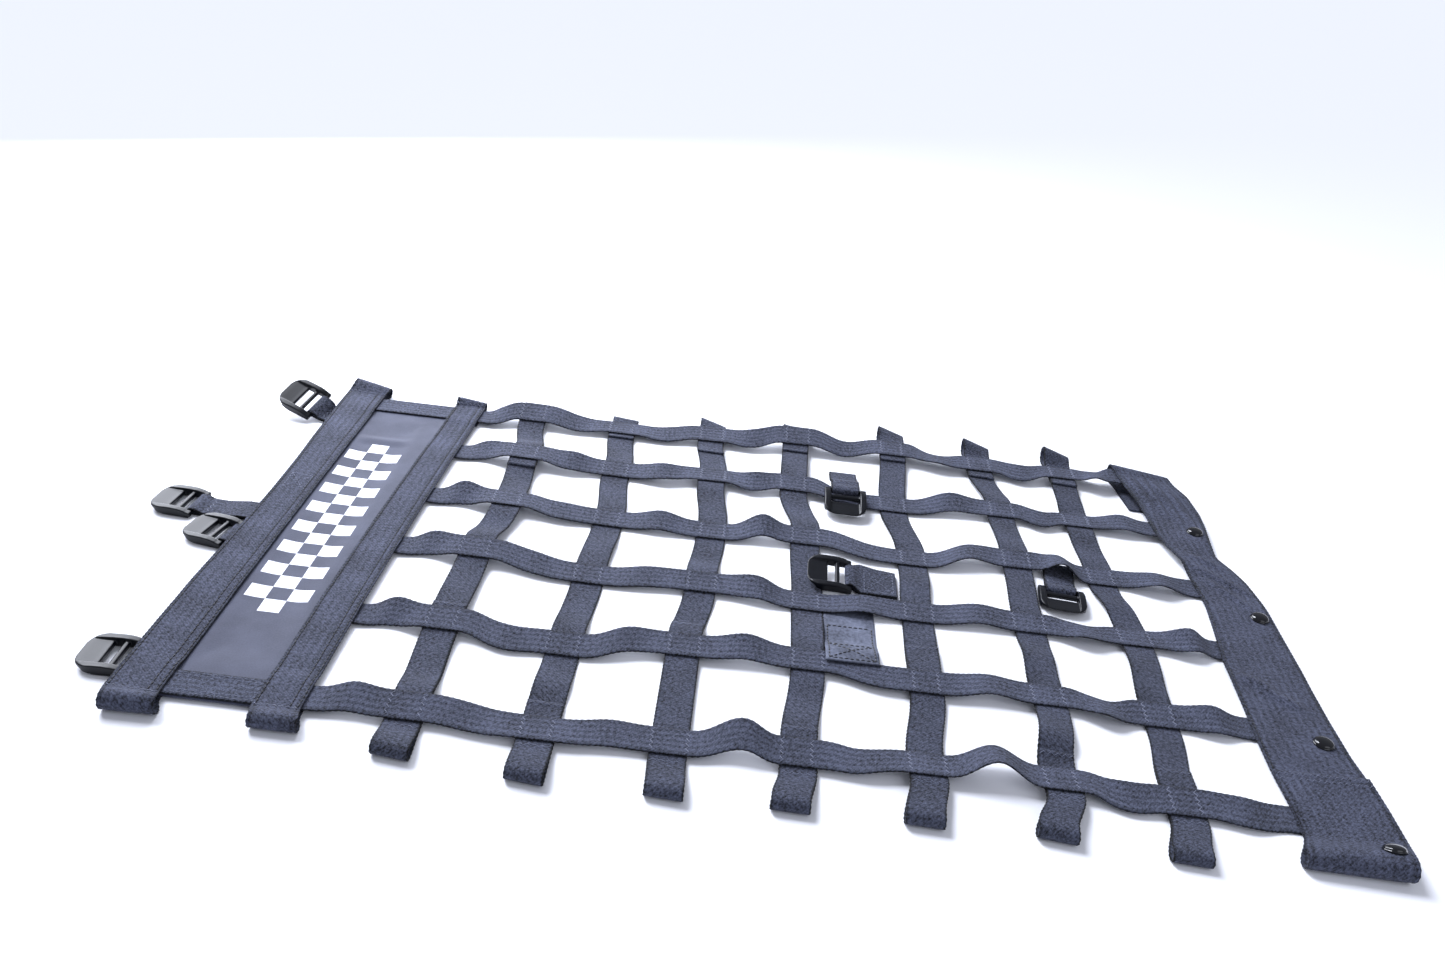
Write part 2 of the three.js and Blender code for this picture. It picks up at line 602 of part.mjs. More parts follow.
function panelBand(shape) {
  const rest = panel.raised + panel.thickness + clearance + band.thickness / 2;
  const overBorder = rest + webbing.thickness + clearance;
  const nearSeat = panelBorders.near - halfSeat;
  const farSeat = panelBorders.far + halfSeat;
  const height = (y) => {
    const near = smoothStep(y, panelBorders.near + halfSeat, panelBorders.near + halfSeat + 12);
    const far = smoothStep(-y, -(panelBorders.far - halfSeat), -(panelBorders.far - halfSeat) + 12);
    return overBorder + (rest - overBorder) * Math.min(near, far);
  };
  const rowAt = (y, z, lift = 0) => spread(
    point(panelBandEdge(shape, y, "left"), y, z + lift), point(panelBandEdge(shape, y, "right"), y, z), 2);
  const mainLift = (y) => rest + shape.leftLift - height(y);
  const stops = [nearSeat, panelBorders.near + halfSeat, panelBorders.near + halfSeat + 6];
  for (let y = panelBorders.near + halfSeat + 12; y < panelBorders.far - halfSeat - 12; y += bandStep) stops.push(y);
  stops.push(panelBorders.far - halfSeat - 12, panelBorders.far - halfSeat - 6, panelBorders.far - halfSeat, farSeat);
  const main = stops.map((y) => rowAt(y, height(y), Math.max(mainLift(y), 0)));
  const flat = band.thickness / 2;
  const nearUnder = rowAt(nearSeat, flat);
  const farUnder = rowAt(farSeat, flat);
  const nearLoop = rodLoop(nearUnder, main[0], -1, shape.near, { floor: flat });
  const farLoop = rodLoop(farUnder, main[main.length - 1], 1, shape.far, { floor: flat });
  const nearEnd = rowAt(nearSeat + shape.nearReturn, flat);
  const farEnd = rowAt(farSeat - shape.farReturn, flat);
  return slab(
    [nearEnd, nearUnder, ...nearLoop, ...main, ...farLoop.reverse(), farUnder, farEnd],
    band.thickness,
  );
}

// The end band: its near end is folded back over, its far end under
function endBandStrap() {
  const lanes = 3;
  const rowOf = (row, raise) => spread(
    point(row.left, row.y, row.leftHigh + raise), point(row.right, row.y, row.rightHigh + raise), lanes);
  const nearFirst = [...endBand].reverse();
  const main = nearFirst.map((row) => rowOf(row, 0));
  const raised = band.thickness + endBandLap.gap;
  const lapRows = nearFirst.filter((row) => row.y <= endBandLap.end).map((row) => rowOf(row, raised));
  const flat = band.thickness / 2;
  const farRow = endBand[0];
  const farUnder = spread(point(farRow.left, farRow.y, flat), point(farRow.right, farRow.y, flat), lanes);
  const returnY = farRow.y - endBandReturn;
  const farEnd = spread(point(farRow.left + 6, returnY, flat), point(farRow.right + 6, returnY, flat), lanes);
  const nearLoop = rodLoop(main[0], lapRows[0], -1, endBandLoops.near, { floor: flat });
  const farLoop = rodLoop(farUnder, main[main.length - 1], 1, endBandLoops.far, { floor: flat });
  return slab(
    [...lapRows.reverse(), ...nearLoop.reverse(), ...main, ...farLoop.reverse(), farUnder, farEnd],
    band.thickness,
  );
}

// A snap cap, set squarely on the cloth under it and clear of it all round
function surfaceUnder(mesh, x, y) {
  return new THREE.Raycaster(point(x, y, cap.dropFrom), point(0, 0, -1)).intersectObject(mesh)[0].point;
}

function snapCap(mesh, place) {
  const profile = [new THREE.Vector2(0, 0), new THREE.Vector2(cap.radius, 0)];
  for (let ring = 0; ring < cap.rings; ring += 1) {
    const angle = Math.PI / 2 * (ring / cap.rings);
    profile.push(new THREE.Vector2(
      cap.radius * Math.cos(angle), cap.rim + (cap.height - cap.rim) * Math.sin(angle)));
  }
  profile.push(new THREE.Vector2(0, cap.height));
  const geometry = new THREE.LatheGeometry(profile, cap.sides);
  const under = (angle) => surfaceUnder(
    mesh, place.x + cap.radius * Math.cos(angle), place.y + cap.radius * Math.sin(angle));
  const quarter = Math.PI / 2;
  const normal = under(0).sub(under(2 * quarter)).cross(under(quarter).sub(under(3 * quarter))).normalize();
  const centre = surfaceUnder(mesh, place.x, place.y);
  const rises = Array.from({ length: cap.sides }, (unused, side) => (
    under(2 * Math.PI * side / cap.sides).sub(centre).dot(normal)));
  const lift = Math.max(0, ...rises) + clearance;
  geometry.applyQuaternion(new THREE.Quaternion().setFromUnitVectors(point(0, 1, 0), normal));
  geometry.translate(...centre.addScaledVector(normal, lift).toArray());
  return geometry;
}

// Ladder-lock buckle. Its own frame has x towards the tip, y across and z up, with the middle of the
// strap bar's rear edge at zero. Each profile is a list of distance and height pairs, run across.
const buckleProfiles = {
  rail: [
    [0, 0.6], [1.2, 0], [22, 0], [37, 4.6], [37, 6.4], [28, 7.4], [16, 7.8], [8, 7], [3.5, 5.2], [0, 4.4],
  ],
  strapBar: [[0, 1.9], [3.2, 1.9], [3.2, 4.2], [0, 4.2]],
  middleBar: [[10, 1.4], [13.8, 1.4], [13.8, 5.6], [10, 5.6]],
  lip: [[20, 1.4], [28, 2.6], [37, 5], [37, 6.2], [28, 5.8], [20, 5.6]],
};

function acrossBuckle(profile, from, to) {
  const shape = new THREE.Shape(profile.map(([along, high]) => new THREE.Vector2(along, high)));
  const geometry = new THREE.ExtrudeGeometry(shape, { depth: to - from, bevelEnabled: false });
  return geometry.rotateX(Math.PI / 2).translate(0, to, 0);
}

function solidOf(geometry) {
  const positions = geometry.getAttribute("position");
  const corners = geometry.index?.array ?? Array.from({ length: positions.count }, (unused, index) => index);
  const mesh = new wasm.Mesh({
    numProp: 3, vertProperties: new Float32Array(positions.array), triVerts: new Uint32Array(corners),
  });
  mesh.merge();
  return new wasm.Manifold(mesh);
}

function geometryOf(solid) {
  const mesh = solid.getMesh();
  const geometry = new THREE.BufferGeometry();
  geometry.setAttribute("position", new THREE.Float32BufferAttribute(mesh.vertProperties, 3));
  geometry.setIndex([...mesh.triVerts]);
  geometry.computeVertexNormals();
  return geometry;
}

// What is cut away to round the buckle's corners in plan
function buckleSurround() {
  const half = buckle.width / 2;
  const margin = buckle.rearRadius;
  const surround = new THREE.Shape();
  surround.moveTo(-margin, -half - margin);
  surround.lineTo(buckle.length + margin, -half - margin);
  surround.lineTo(buckle.length + margin, half + margin);
  surround.lineTo(-margin, half + margin);
  const outline = new THREE.Path();
  const tip = buckle.length - buckle.tipRadius;
  const rear = buckle.rearRadius;
  const quarter = Math.PI / 2;
  outline.absarc(tip, half - buckle.tipRadius, buckle.tipRadius, 0, quarter, false);
  outline.absarc(rear, half - rear, rear, quarter, 2 * quarter, false);
  outline.absarc(rear, -half + rear, rear, 2 * quarter, 3 * quarter, false);
  outline.absarc(tip, -half + buckle.tipRadius, buckle.tipRadius, 3 * quarter, 4 * quarter, false);
  surround.holes.push(outline);
  const depth = buckle.width;
  return new THREE.ExtrudeGeometry(surround, { depth, bevelEnabled: false, curveSegments: 4 })
    .translate(0, 0, -depth / 2);
}

function buckleBody() {
  const half = buckle.width / 2;
  const inner = buckle.slotWidth / 2;
  const pieces = [
    acrossBuckle(buckleProfiles.rail, inner, half),
    acrossBuckle(buckleProfiles.rail, -half, -inner),
    ...[buckleProfiles.strapBar, buckleProfiles.middleBar, buckleProfiles.lip].map((profile) => (
      acrossBuckle(profile, -inner - buckle.overlap, inner + buckle.overlap))),
  ];
  const joined = wasm.Manifold.union(pieces.map(solidOf));
  return geometryOf(joined.subtract(solidOf(buckleSurround())));
}

// The doubled strap that holds a buckle, in the buckle's frame: back under the bar, round it and over
const tieBend = { radius: 2.3, centre: 2.8, high: 3, steps: 6, narrow: 2, settle: 7 };

function tieStrap(tie) {
  const raised = webbing.thickness + plyGap;
  const narrow = webbing.width / 2;
  const wide = tie.width / 2;
  const row = (along, high, half, roll = 0) => [1, -1].map((side) => (
    point(along, side * half, high + side * half * Math.tan(roll * degrees))));
  const tail = [{ back: tieBend.settle, drop: 0, roll: 0 }, ...tie.tail];
  const under = tail.map((stop) => row(-stop.back, lowest - stop.drop, wide, stop.roll));
  const over = tail.map((stop) => row(-stop.back, lowest + raised - stop.drop, wide, stop.roll));
  const bend = Array.from({ length: tieBend.steps + 1 }, (unused, step) => {
    const angle = Math.PI * (step / tieBend.steps - 0.5);
    return row(
      tieBend.centre + tieBend.radius * Math.cos(angle), tieBend.high + tieBend.radius * Math.sin(angle), narrow);
  });
  const top = row(-tieBend.narrow / 2, tieBend.high + tieBend.radius, narrow);
  const bottom = row(-tieBend.narrow / 2, lowest, narrow);
  return slab([...under.reverse(), bottom, ...bend, top, ...over].reverse(), webbing.thickness);
}

function placed(geometry, tie) {
  const turned = new THREE.Matrix4().makeRotationFromEuler(
    new THREE.Euler(tie.roll * degrees, -tie.pitch * degrees, tie.turn * degrees, "ZYX"));
  return geometry.applyMatrix4(turned).translate(tie.x, tie.y, tie.z);
}

function tabSheet() {
  return slab(tabRows.map(({ y, high }) => [tab.left, tab.right].map((x) => point(x, y, high))), tab.thickness);
}

// Materials, one for each finish
const finishes = {
  webbing: { color: 0x3a3c49, roughness: 0.85, metalness: 0 },
  panel: { color: 0x4c4e5c, roughness: 0.7, metalness: 0 },
  moulded: { color: 0x17181c, roughness: 0.4, metalness: 0 },
  cap: { color: 0x101114, roughness: 0.15, metalness: 0.2 },
  tab: { color: 0x8a8ca4, roughness: 0.7, metalness: 0 },
};

const net = new THREE.Group();

function add(name, geometry, finish) {
  const mesh = new THREE.Mesh(geometry, new THREE.MeshStandardMaterial(finishes[finish]));
  mesh.name = name;
  net.add(mesh);
  return mesh;
}

add("panel", panelSheet(), "panel");
panelBands.forEach((shape) => add(shape.name, panelBand(shape), "webbing"));
const bandEnd = add("band_end", endBandStrap(), "webbing");
caps.forEach((place, index) => add(`snap_cap_${index + 1}`, snapCap(bandEnd, place), "cap"));
lengthwise.forEach((line, row) => add(`lengthwise_${row + 1}`, lengthwiseStrap(row), "webbing"));
crosswise.forEach((strap, column) => add(`crosswise_${column + 1}`, crosswiseStrap(column), "webbing"));

ties.forEach((tie) => {
  add(`tie_${tie.name}`, placed(tieStrap(tie), tie), "webbing");
  add(`buckle_${tie.name}`, placed(buckleBody(), tie), "moulded");
});
add("tab_centre", tabSheet(), "tab");

const outline = new THREE.Box3().setFromObject(net);
const middle = outline.getCenter(new THREE.Vector3());
net.position.set(-middle.x, -middle.y, -outline.min.z);

export default net;
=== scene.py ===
"""How a slack racing window net looks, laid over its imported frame.

The net is sewn from one inch webbing. The tables give, in millimetres, where its straps lie in the
net's own grid; the classes weave, fold and stitch the cloth from them, and dress each piece.
"""
from __future__ import annotations

import logging
import math
from dataclasses import dataclass, field
from enum import Enum
from typing import Any, Callable, NamedTuple, Sequence

import bmesh
import bpy
import numpy as np
from mathutils import Matrix, Vector


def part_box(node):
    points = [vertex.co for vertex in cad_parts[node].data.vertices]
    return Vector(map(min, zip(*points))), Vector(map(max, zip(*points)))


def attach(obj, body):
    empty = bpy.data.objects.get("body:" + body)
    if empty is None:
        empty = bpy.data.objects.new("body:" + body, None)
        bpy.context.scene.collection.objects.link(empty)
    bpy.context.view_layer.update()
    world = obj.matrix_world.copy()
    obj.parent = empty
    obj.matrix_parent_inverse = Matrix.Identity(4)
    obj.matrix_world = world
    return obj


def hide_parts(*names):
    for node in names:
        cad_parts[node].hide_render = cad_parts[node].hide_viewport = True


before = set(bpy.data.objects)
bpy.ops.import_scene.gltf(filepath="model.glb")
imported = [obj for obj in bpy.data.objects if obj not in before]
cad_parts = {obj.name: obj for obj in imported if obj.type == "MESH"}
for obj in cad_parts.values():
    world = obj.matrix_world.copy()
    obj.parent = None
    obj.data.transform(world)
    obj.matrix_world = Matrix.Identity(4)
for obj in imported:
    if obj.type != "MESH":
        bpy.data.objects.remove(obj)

log = logging.getLogger("net")
Mesh = bpy.types.Mesh
Material = bpy.types.Material
Socket = bpy.types.NodeSocket
Pair = tuple[float, float]
Point = tuple[float, float, float]
Knot = tuple[float, float, float]               # place, value and slope
Height = Callable[[float, float], float]

# Sizes in millimetres
MM = 0.001                                      # a millimetre in metres
WEBBING_WIDTH = 25.4
WEBBING_THICKNESS = 1.4
HALF_WEBBING = WEBBING_WIDTH / 2
HALF_SEAT = HALF_WEBBING + 2.0                  # flat cloth past each edge of a crossing
LOWEST = WEBBING_THICKNESS / 2                  # middle of webbing that lies on the floor
CLEARANCE = 0.3                                 # between two pieces
PLY_GAP = 0.4                                   # between two layers of one strap
BAND_THICKNESS = 1.6
PANEL_THICKNESS = 1.2
PANEL_RAISED = 1.9                              # from the floor to the panel's edges
PANEL_EDGES = (-177.0, -77.0, -22.0, 447.0)     # left, right, near, far
BORDER_NEAR = -9.0                              # the borders' middle lines on the panel
BORDER_FAR = 431.0
BORDER_SEAM_END = -95.0                         # where the borders' seams on the panel end
END_LAP_GAP = 0.7                               # under the end band, and under its lap
TIE_BOX_Y = 262.0                               # where a tie is sewn under the outer band

# How cloth and stitches are drawn, in millimetres where they are lengths
LANE_CROWDING = 0.82                            # how far the lanes of a grid crowd to the edges
EDGE_SHARE = 0.06                               # share of the half width that is rounded
PAINTED_SHADE_WIDTH = 2.0                            # how far in from a strap's edges the painted shade reaches
SEAM_HALF = 0.9                                 # half the width that a row of stitches draws in
SEAM_DEPTH = 0.45                               # how deep it draws the cloth in
SEAM_SHADE = 0.6                                # how dark the painted shade in that groove is, as a share of the painted edge shade
CUT_END_BAR = 2.5                               # from a strap's cut end to its bar of stitches
STITCH_SINK = np.array([[-0.22], [0.1], [0.1], [-0.22]])  # both ends of a stitch go into the cloth
TINY = 1e-9                                     # least length that a vector is divided by


class Column(NamedTuple):
    """A crosswise strap: its place at each lengthwise strap, far one first, and its laps' ends."""

    x: tuple[float, ...]
    near_lap: float
    far_lap: float


class Line(NamedTuple):
    """A lengthwise strap: its place, its lift off the floor and its slope at each crosswise strap."""

    y: tuple[float, ...]
    lift: tuple[float, ...]
    slope: tuple[float, ...]


class Span(NamedTuple):
    """How a strap runs between two crossings."""

    rise: float
    at: float
    lean: float
    stray: float = 0.0


class Loop(NamedTuple):
    """A rod loop: how far each side reaches, how tall it stands, and its drift to the right."""

    reach_left: float
    reach_right: float
    tall_left: float
    tall_right: float
    drift: float


class EndRow(NamedTuple):
    """One line across the end band."""

    y: float
    left: float
    left_high: float
    right: float
    right_high: float


class Stop(NamedTuple):
    """A stop on a tie strap's way back from its buckle."""

    back: float
    drop: float
    roll: float


class Tie(NamedTuple):
    """A tie strap with its buckle: place, directions, strap width, and the strap's way back."""

    name: str
    place: tuple[float, float, float]
    turn: float
    roll: float
    pitch: float
    width: float
    tail: tuple[Stop, ...]


# The crosswise straps, left ones first
CROSSWISE = (
    Column((-3, 5, 7, -1, -2, 0), 116, 335),
    Column((85, 90, 95, 92, 89, 88), 18, 418),
    Column((172, 178, 184, 181, 175, 175), 131, 408),
    Column((255, 254, 265, 267, 267, 261), 22, 429),
    Column((351, 347, 357, 355, 354, 347), 135, 433),
    Column((437, 446, 448, 445, 444, 437), 26, 424),
    Column((518, 518, 521, 529, 524, 517), 27, 424),
)

# The lengthwise straps, far ones first, with a value for each crosswise strap
LENGTHWISE = (
    Line((440, 440, 445, 453, 454, 448, 449), (3, 0.4, 1.5, 5, 5, 2.5, 3), (14, -2, 6, 14, 5, 3, -3)),
    Line((358, 357, 363, 364, 353, 362, 361), (6, 0.5, 3, 3.5, 0, 3, 1), (2, 4, -3, 6, 2, 4, -4)),
    Line((274, 269, 269, 274, 262, 275, 268), (5, 0, 0, 2, 0, 3, 0), (-3, 2, 2, 5, -2, 5, 2)),
    Line((190, 179, 184, 178, 179, 182, 179), (5, 0, 1.5, 0, 0.5, 1, 0.5), (6, 3, 5, 0, 3, 4, -4)),
    Line((92, 83, 96, 97, 86, 88, 82), (2, 0, 1, 2.5, 1, 2.5, 0), (5, 6, 4, 2, 3, -2, 6)),
    Line((-8, -13, -10, -7, -4, -3, -10), (0.5, 0, 0, 0, 0, 0, 0), (7, -3, 1, 6, -8, -7, 4)),
)

# How each lengthwise strap runs from seat to seat, panel first
LENGTHWISE_SPANS = (
    (
        Span(3, 0.4, 8, -3), Span(3, 0.5, 4, -3), Span(2.5, 0.5, 5, -4),
        Span(4, 0.5, 8, -5), Span(3, 0.5, 0, -4), Span(5, 0.5, -14, -4),
        Span(4, 0.45, 10, -8), Span(8, 0.45, -16, -5),
    ),
    (
        Span(1, 0.4, 14, 3), Span(5, 0.5, 10, -3), Span(6, 0.5, 6, -4),
        Span(4, 0.6, 12, -6), Span(4.5, 0.4, -6, -8), Span(5, 0.6, 10, 3),
        Span(4, 0.5, 5, -8), Span(7, 0.5, 5, 0),
    ),
    (
        Span(1, 0.4, 22, 3), Span(4, 0.5, 4, -3), Span(4, 0.5, 8, 0),
        Span(7, 0.6, 12, 3), Span(4, 0.4, 0, -4), Span(8, 0.6, -6, 4),
        Span(9, 0.5, -18, 0), Span(7, 0.5, -10, -4),
    ),
    (
        Span(1, 0.4, 14, 3), Span(3, 0.5, 5, -2), Span(3, 0.5, 3, 0),
        Span(5, 0.6, 10, 0), Span(5, 0.5, -3, 0), Span(5, 0.6, 0, 2),
        Span(4, 0.4, -12, -6), Span(8, 0.6, 12, -4),
    ),
    (
        Span(1, 0.4, 16, 3), Span(2.5, 0.4, 3, -6), Span(5, 0.5, 5, 2),
        Span(6, 0.5, 8, 2), Span(4, 0.5, 0, -3), Span(6, 0.5, -4, 3),
        Span(4, 0.4, -14, -7), Span(5, 0.5, 8, -3),
    ),
    (
        Span(4, 0.5, 8, 2), Span(3.5, 0.5, 3, -1), Span(4, 0.5, 4, 1),
        Span(9, 0.65, 10, 5), Span(4, 0.4, -2, -3), Span(12, 0.5, -8, 6),
        Span(2.5, 0.45, 10, -5), Span(3, 0.4, 6, -4),
    ),
)

# How each crosswise strap runs between lengthwise straps, far ones first
CROSSWISE_SPANS = (
    (
        Span(0, 0.5, 0), Span(2, 0.5, 4), Span(3, 0.5, -3),
        Span(3, 0.4, 5), Span(0, 0.6, 0),
    ),
    (
        Span(0, 0.5, 3), Span(0, 0.5, 0), Span(1, 0.5, -4),
        Span(0, 0.5, 0), Span(2, 0.5, 5),
    ),
    (
        Span(2, 0.5, 3), Span(1.5, 0.4, 2), Span(0, 0.5, 0),
        Span(0, 0.6, 0), Span(0, 0.5, 2),
    ),
    (
        Span(5, 0.4, 4), Span(2, 0.5, 0), Span(0, 0.5, 0),
        Span(2, 0.5, -3), Span(0, 0.35, 0),
    ),
    (
        Span(3, 0.3, 0), Span(0, 0.5, 4), Span(4.4, 0.5, 0),
        Span(0, 0.5, -4), Span(0, 0.3, 0),
    ),
    (
        Span(2, 0.5, 5), Span(3, 0.5, 6), Span(2, 0.5, 5),
        Span(3, 0.5, 8), Span(7, 0.55, 9),
    ),
    (
        Span(2, 0.6, 6), Span(0, 0.5, 3), Span(2, 0.5, 5),
        Span(3, 0.4, 8), Span(0, 0.6, 3),
    ),
)

# The crosswise straps' rod loops on the near side, and then on the far one
NEAR_LOOPS = (
    Loop(31, 34, 10, 9.5, 1),
    Loop(34, 37, 9.5, 10, 0),
    Loop(37, 39, 9, 10, 1),
    Loop(39, 40, 9.5, 9.5, -5),
    Loop(41, 42, 10.5, 10, -6),
    Loop(40, 43, 10.5, 10.5, -12),
    Loop(40, 42, 9, 9.5, -9),
)
FAR_LOOPS = (
    Loop(16, 14, 5, 4.6, 0),
    Loop(13, 9, 5, 4, 0),
    Loop(18, 9, 11, 6, 0),
    Loop(17, 12, 11, 7, 0),
    Loop(27, 20, 17, 10, 0),
    Loop(28, 20, 17, 10, 0),
    Loop(28, 20, 18, 11, 0),
)

# The end band's edges, far ones first, and its rod loops
END_BAND = (
    EndRow(449, 571, 14, 629, 9),
    EndRow(428, 576, 12, 638, 8),
    EndRow(398, 584, 9, 642, 6),
    EndRow(374, 586, 7, 640, 7),
    EndRow(346, 588, 7, 636, 8),
    EndRow(322, 593, 8, 636, 4),
    EndRow(304, 598, 9, 646, 3),
    EndRow(284, 600, 5, 651, 4),
    EndRow(255, 603, 3.6, 655, 4),
    EndRow(240, 603, 3.4, 656, 4),
    EndRow(210, 600, 3.4, 656, 3.4),
    EndRow(160, 594, 3.6, 656, 3),
    EndRow(140, 592, 6, 656, 2),
    EndRow(100, 592, 3.4, 655, 2.6),
    EndRow(58, 590, 3.4, 655, 3.4),
    EndRow(34, 590, 2.6, 657, 4),
    EndRow(4, 591, 2.8, 659, 2.8),
    EndRow(-25, 591, 2.6, 659, 2.6),
)
END_LOOP_NEAR = Loop(33, 36, 13, 17, -10)
END_LOOP_FAR = Loop(20, 15, 18, 11, -3)
END_LAP = 34.0                                  # where its near lap ends
END_RETURN = 48.0                               # how far its far end runs back below it

# The tie straps with their buckles
TIES = (
    Tie("near", (-191, 12, 0), 182, 0, 0, 25.4, (Stop(10, 0, 0),)),
    Tie("mid_right", (-193, 175, 0), 170, 0, 0, 25.4, (Stop(14, 0, 0),)),
    Tie("mid_left", (-236, 214, 0), 176, 0, 0, 25.4, (Stop(20, 0, 0), Stop(38, -2.8, 0), Stop(50, -2.8, 0))),
    Tie("far", (-203, 403, 6.3), 166, -17, 15, 25.4, (Stop(11, 3.2, 17), Stop(21, 0.8, 17))),
    Tie("centre_far", (301, 354, 9.6), 270, 0, -13, 25.4,
        (Stop(14, 1.5, 0), Stop(28, 12.6, 0), Stop(46, 19.8, 0))),
    Tie("centre_near", (303, 216, 3.1), 180, -8, 2, 36, (Stop(20, 1.1, 5), Stop(37.5, 1.5, 8))),
    Tie("side", (481, 240, 0), 264, 0, 0, 25.4, (Stop(12, 0, 0), Stop(24, -0.6, 0), Stop(38, -1.1, 0))),
)

# The snap caps' places in plan
CAPS = ((624, 360), (643, 226), (641, 72), (638, -40))

# Where the tab runs and how high it lies, and its two edges
TAB = ((96, 8.1), (110, 8.1), (119, 5), (130, 1.2), (150, 0.8), (176, 0.8))
TAB_EDGES = (280.0, 320.0)

# The caps' profile up to where the dome starts: radius and height, as shares of the whole cap's
CAP_RIM = ((0, 0), (0.97, 0), (1, 0.06), (1, 0.16), (0.985, 0.22), (0.94, 0.27), (0.93, 0.33))

# The buckles' profiles: distance from the rear edge, and height
RAIL = (
    (0, 1.0), (1.0, 0.2), (22, 0.2), (29, 1.8), (37, 4.7), (37, 6.2), (33, 6.9), (28, 7.3),
    (22, 7.6), (16, 7.7), (11, 7.4), (8, 6.9), (5, 6.0), (3.5, 5.2), (0.6, 4.6), (0, 4.0),
)
REAR_BAR = (
    (0.1, 2.3), (0.6, 1.9), (2.9, 1.9), (3.2, 2.4), (3.2, 3.8), (2.7, 4.2), (0.6, 4.2), (0.1, 3.7),
)
MIDDLE_BAR = (
    (10, 2.1), (10.6, 1.5), (13.2, 1.5), (13.8, 2.2), (13.8, 4.9), (13.1, 5.6), (10.8, 5.6), (10, 4.9),
)
LIP = (
    (20, 1.8), (20.5, 1.5), (28, 2.6), (33, 3.8), (37, 5.1), (37, 6.1), (33, 6.0), (28, 5.7),
    (24, 5.5), (20.6, 5.5), (20, 5.1),
)

# Where the net's grid starts in the row frame
NET_ORIGIN = np.array(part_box("panel")[0]) / MM - np.array([PANEL_EDGES[0], PANEL_EDGES[2], 0.0])


def smooth(share: float) -> float:
    """Ease from 0 to 1, level at both ends."""
    share = min(max(share, 0.0), 1.0)
    return share * share * (3 - 2 * share)


def hermite(place: float, start: Knot, end: Knot) -> float:
    """Cubic curve through two values.

    Args:
        place: where the value is wanted.
        start: place, value and slope at the start.
        end: the same at the end.

    Returns:
        The value at the place.
    """
    width = end[0] - start[0]
    u = (place - start[0]) / width
    return (
        (2 * u**3 - 3 * u**2 + 1) * start[1] + (u**3 - 2 * u**2 + u) * width * start[2]
        + (3 * u**2 - 2 * u**3) * end[1] + (u**3 - u**2) * width * end[2]
    )


def humped(place: float, start: Knot, middle: Knot, end: Knot) -> float:
    """A curve through a start, a middle where it runs level, and an end."""
    return hermite(place, start, middle) if place < middle[0] else hermite(place, middle, end)


class Crossing:
    """The sloping plane on which a lengthwise strap lies over a crosswise one."""

    def __init__(self, row: int, column: int) -> None:
        """Work out the plane from the tables.

        Args:
            row: which lengthwise strap it is, from the far side.
            column: which crosswise strap it is, from the left.
        """
        strap, line = CROSSWISE[column], LENGTHWISE[row]
        self.x, self.y = float(strap.x[row]), float(line.y[column])
        before = line.lift[max(column - 1, 0)]
        after = line.lift[min(column + 1, len(line.lift) - 1)]
        pitch = CROSSWISE[1].x[0] - CROSSWISE[0].x[0]
        self.slope_x = 0.5 * (after - before) / pitch / 2
        self.slope_y = math.tan(math.radians(line.slope[column]))
        self.base = line.lift[column] + LOWEST + (abs(self.slope_x) + abs(self.slope_y)) * HALF_SEAT
        layers = 2 if self.y < strap.near_lap or self.y > strap.far_lap else 1
        laps = (layers - 1) * (WEBBING_THICKNESS + PLY_GAP)
        self.deck = self.base + laps + WEBBING_THICKNESS + CLEARANCE

    def main(self, x: float, y: float) -> float:
        """Height of the crosswise strap's middle."""
        return self.base + self.slope_x * (x - self.x) + self.slope_y * (y - self.y)

    def over(self, x: float, y: float) -> float:
        """Height of the lengthwise strap's middle."""
        return self.deck + self.slope_x * (x - self.x) + self.slope_y * (y - self.y)


CROSSINGS = [[Crossing(row, column) for column in range(len(CROSSWISE))] for row in range(len(LENGTHWISE))]
SPAN_STEPS = 14
SHARES = [step / SPAN_STEPS for step in range(1, SPAN_STEPS)]


def across_x(x: float, y: float, height: Height) -> np.ndarray:
    """A line across a strap that runs along Y, left end first."""
    return np.array([[x + side, y, height(x + side, y)] for side in (-HALF_WEBBING, HALF_WEBBING)])


def across_y(x: float, y: float, height: Height) -> np.ndarray:
    """A line across a strap that runs along X, far end first."""
    return np.array([[x, y + side, height(x, y + side)] for side in (HALF_WEBBING, -HALF_WEBBING)])


def between(left: Sequence[float], right: Sequence[float]) -> np.ndarray:
    """A line from a left edge to a right edge."""
    return np.array([left, right], float)


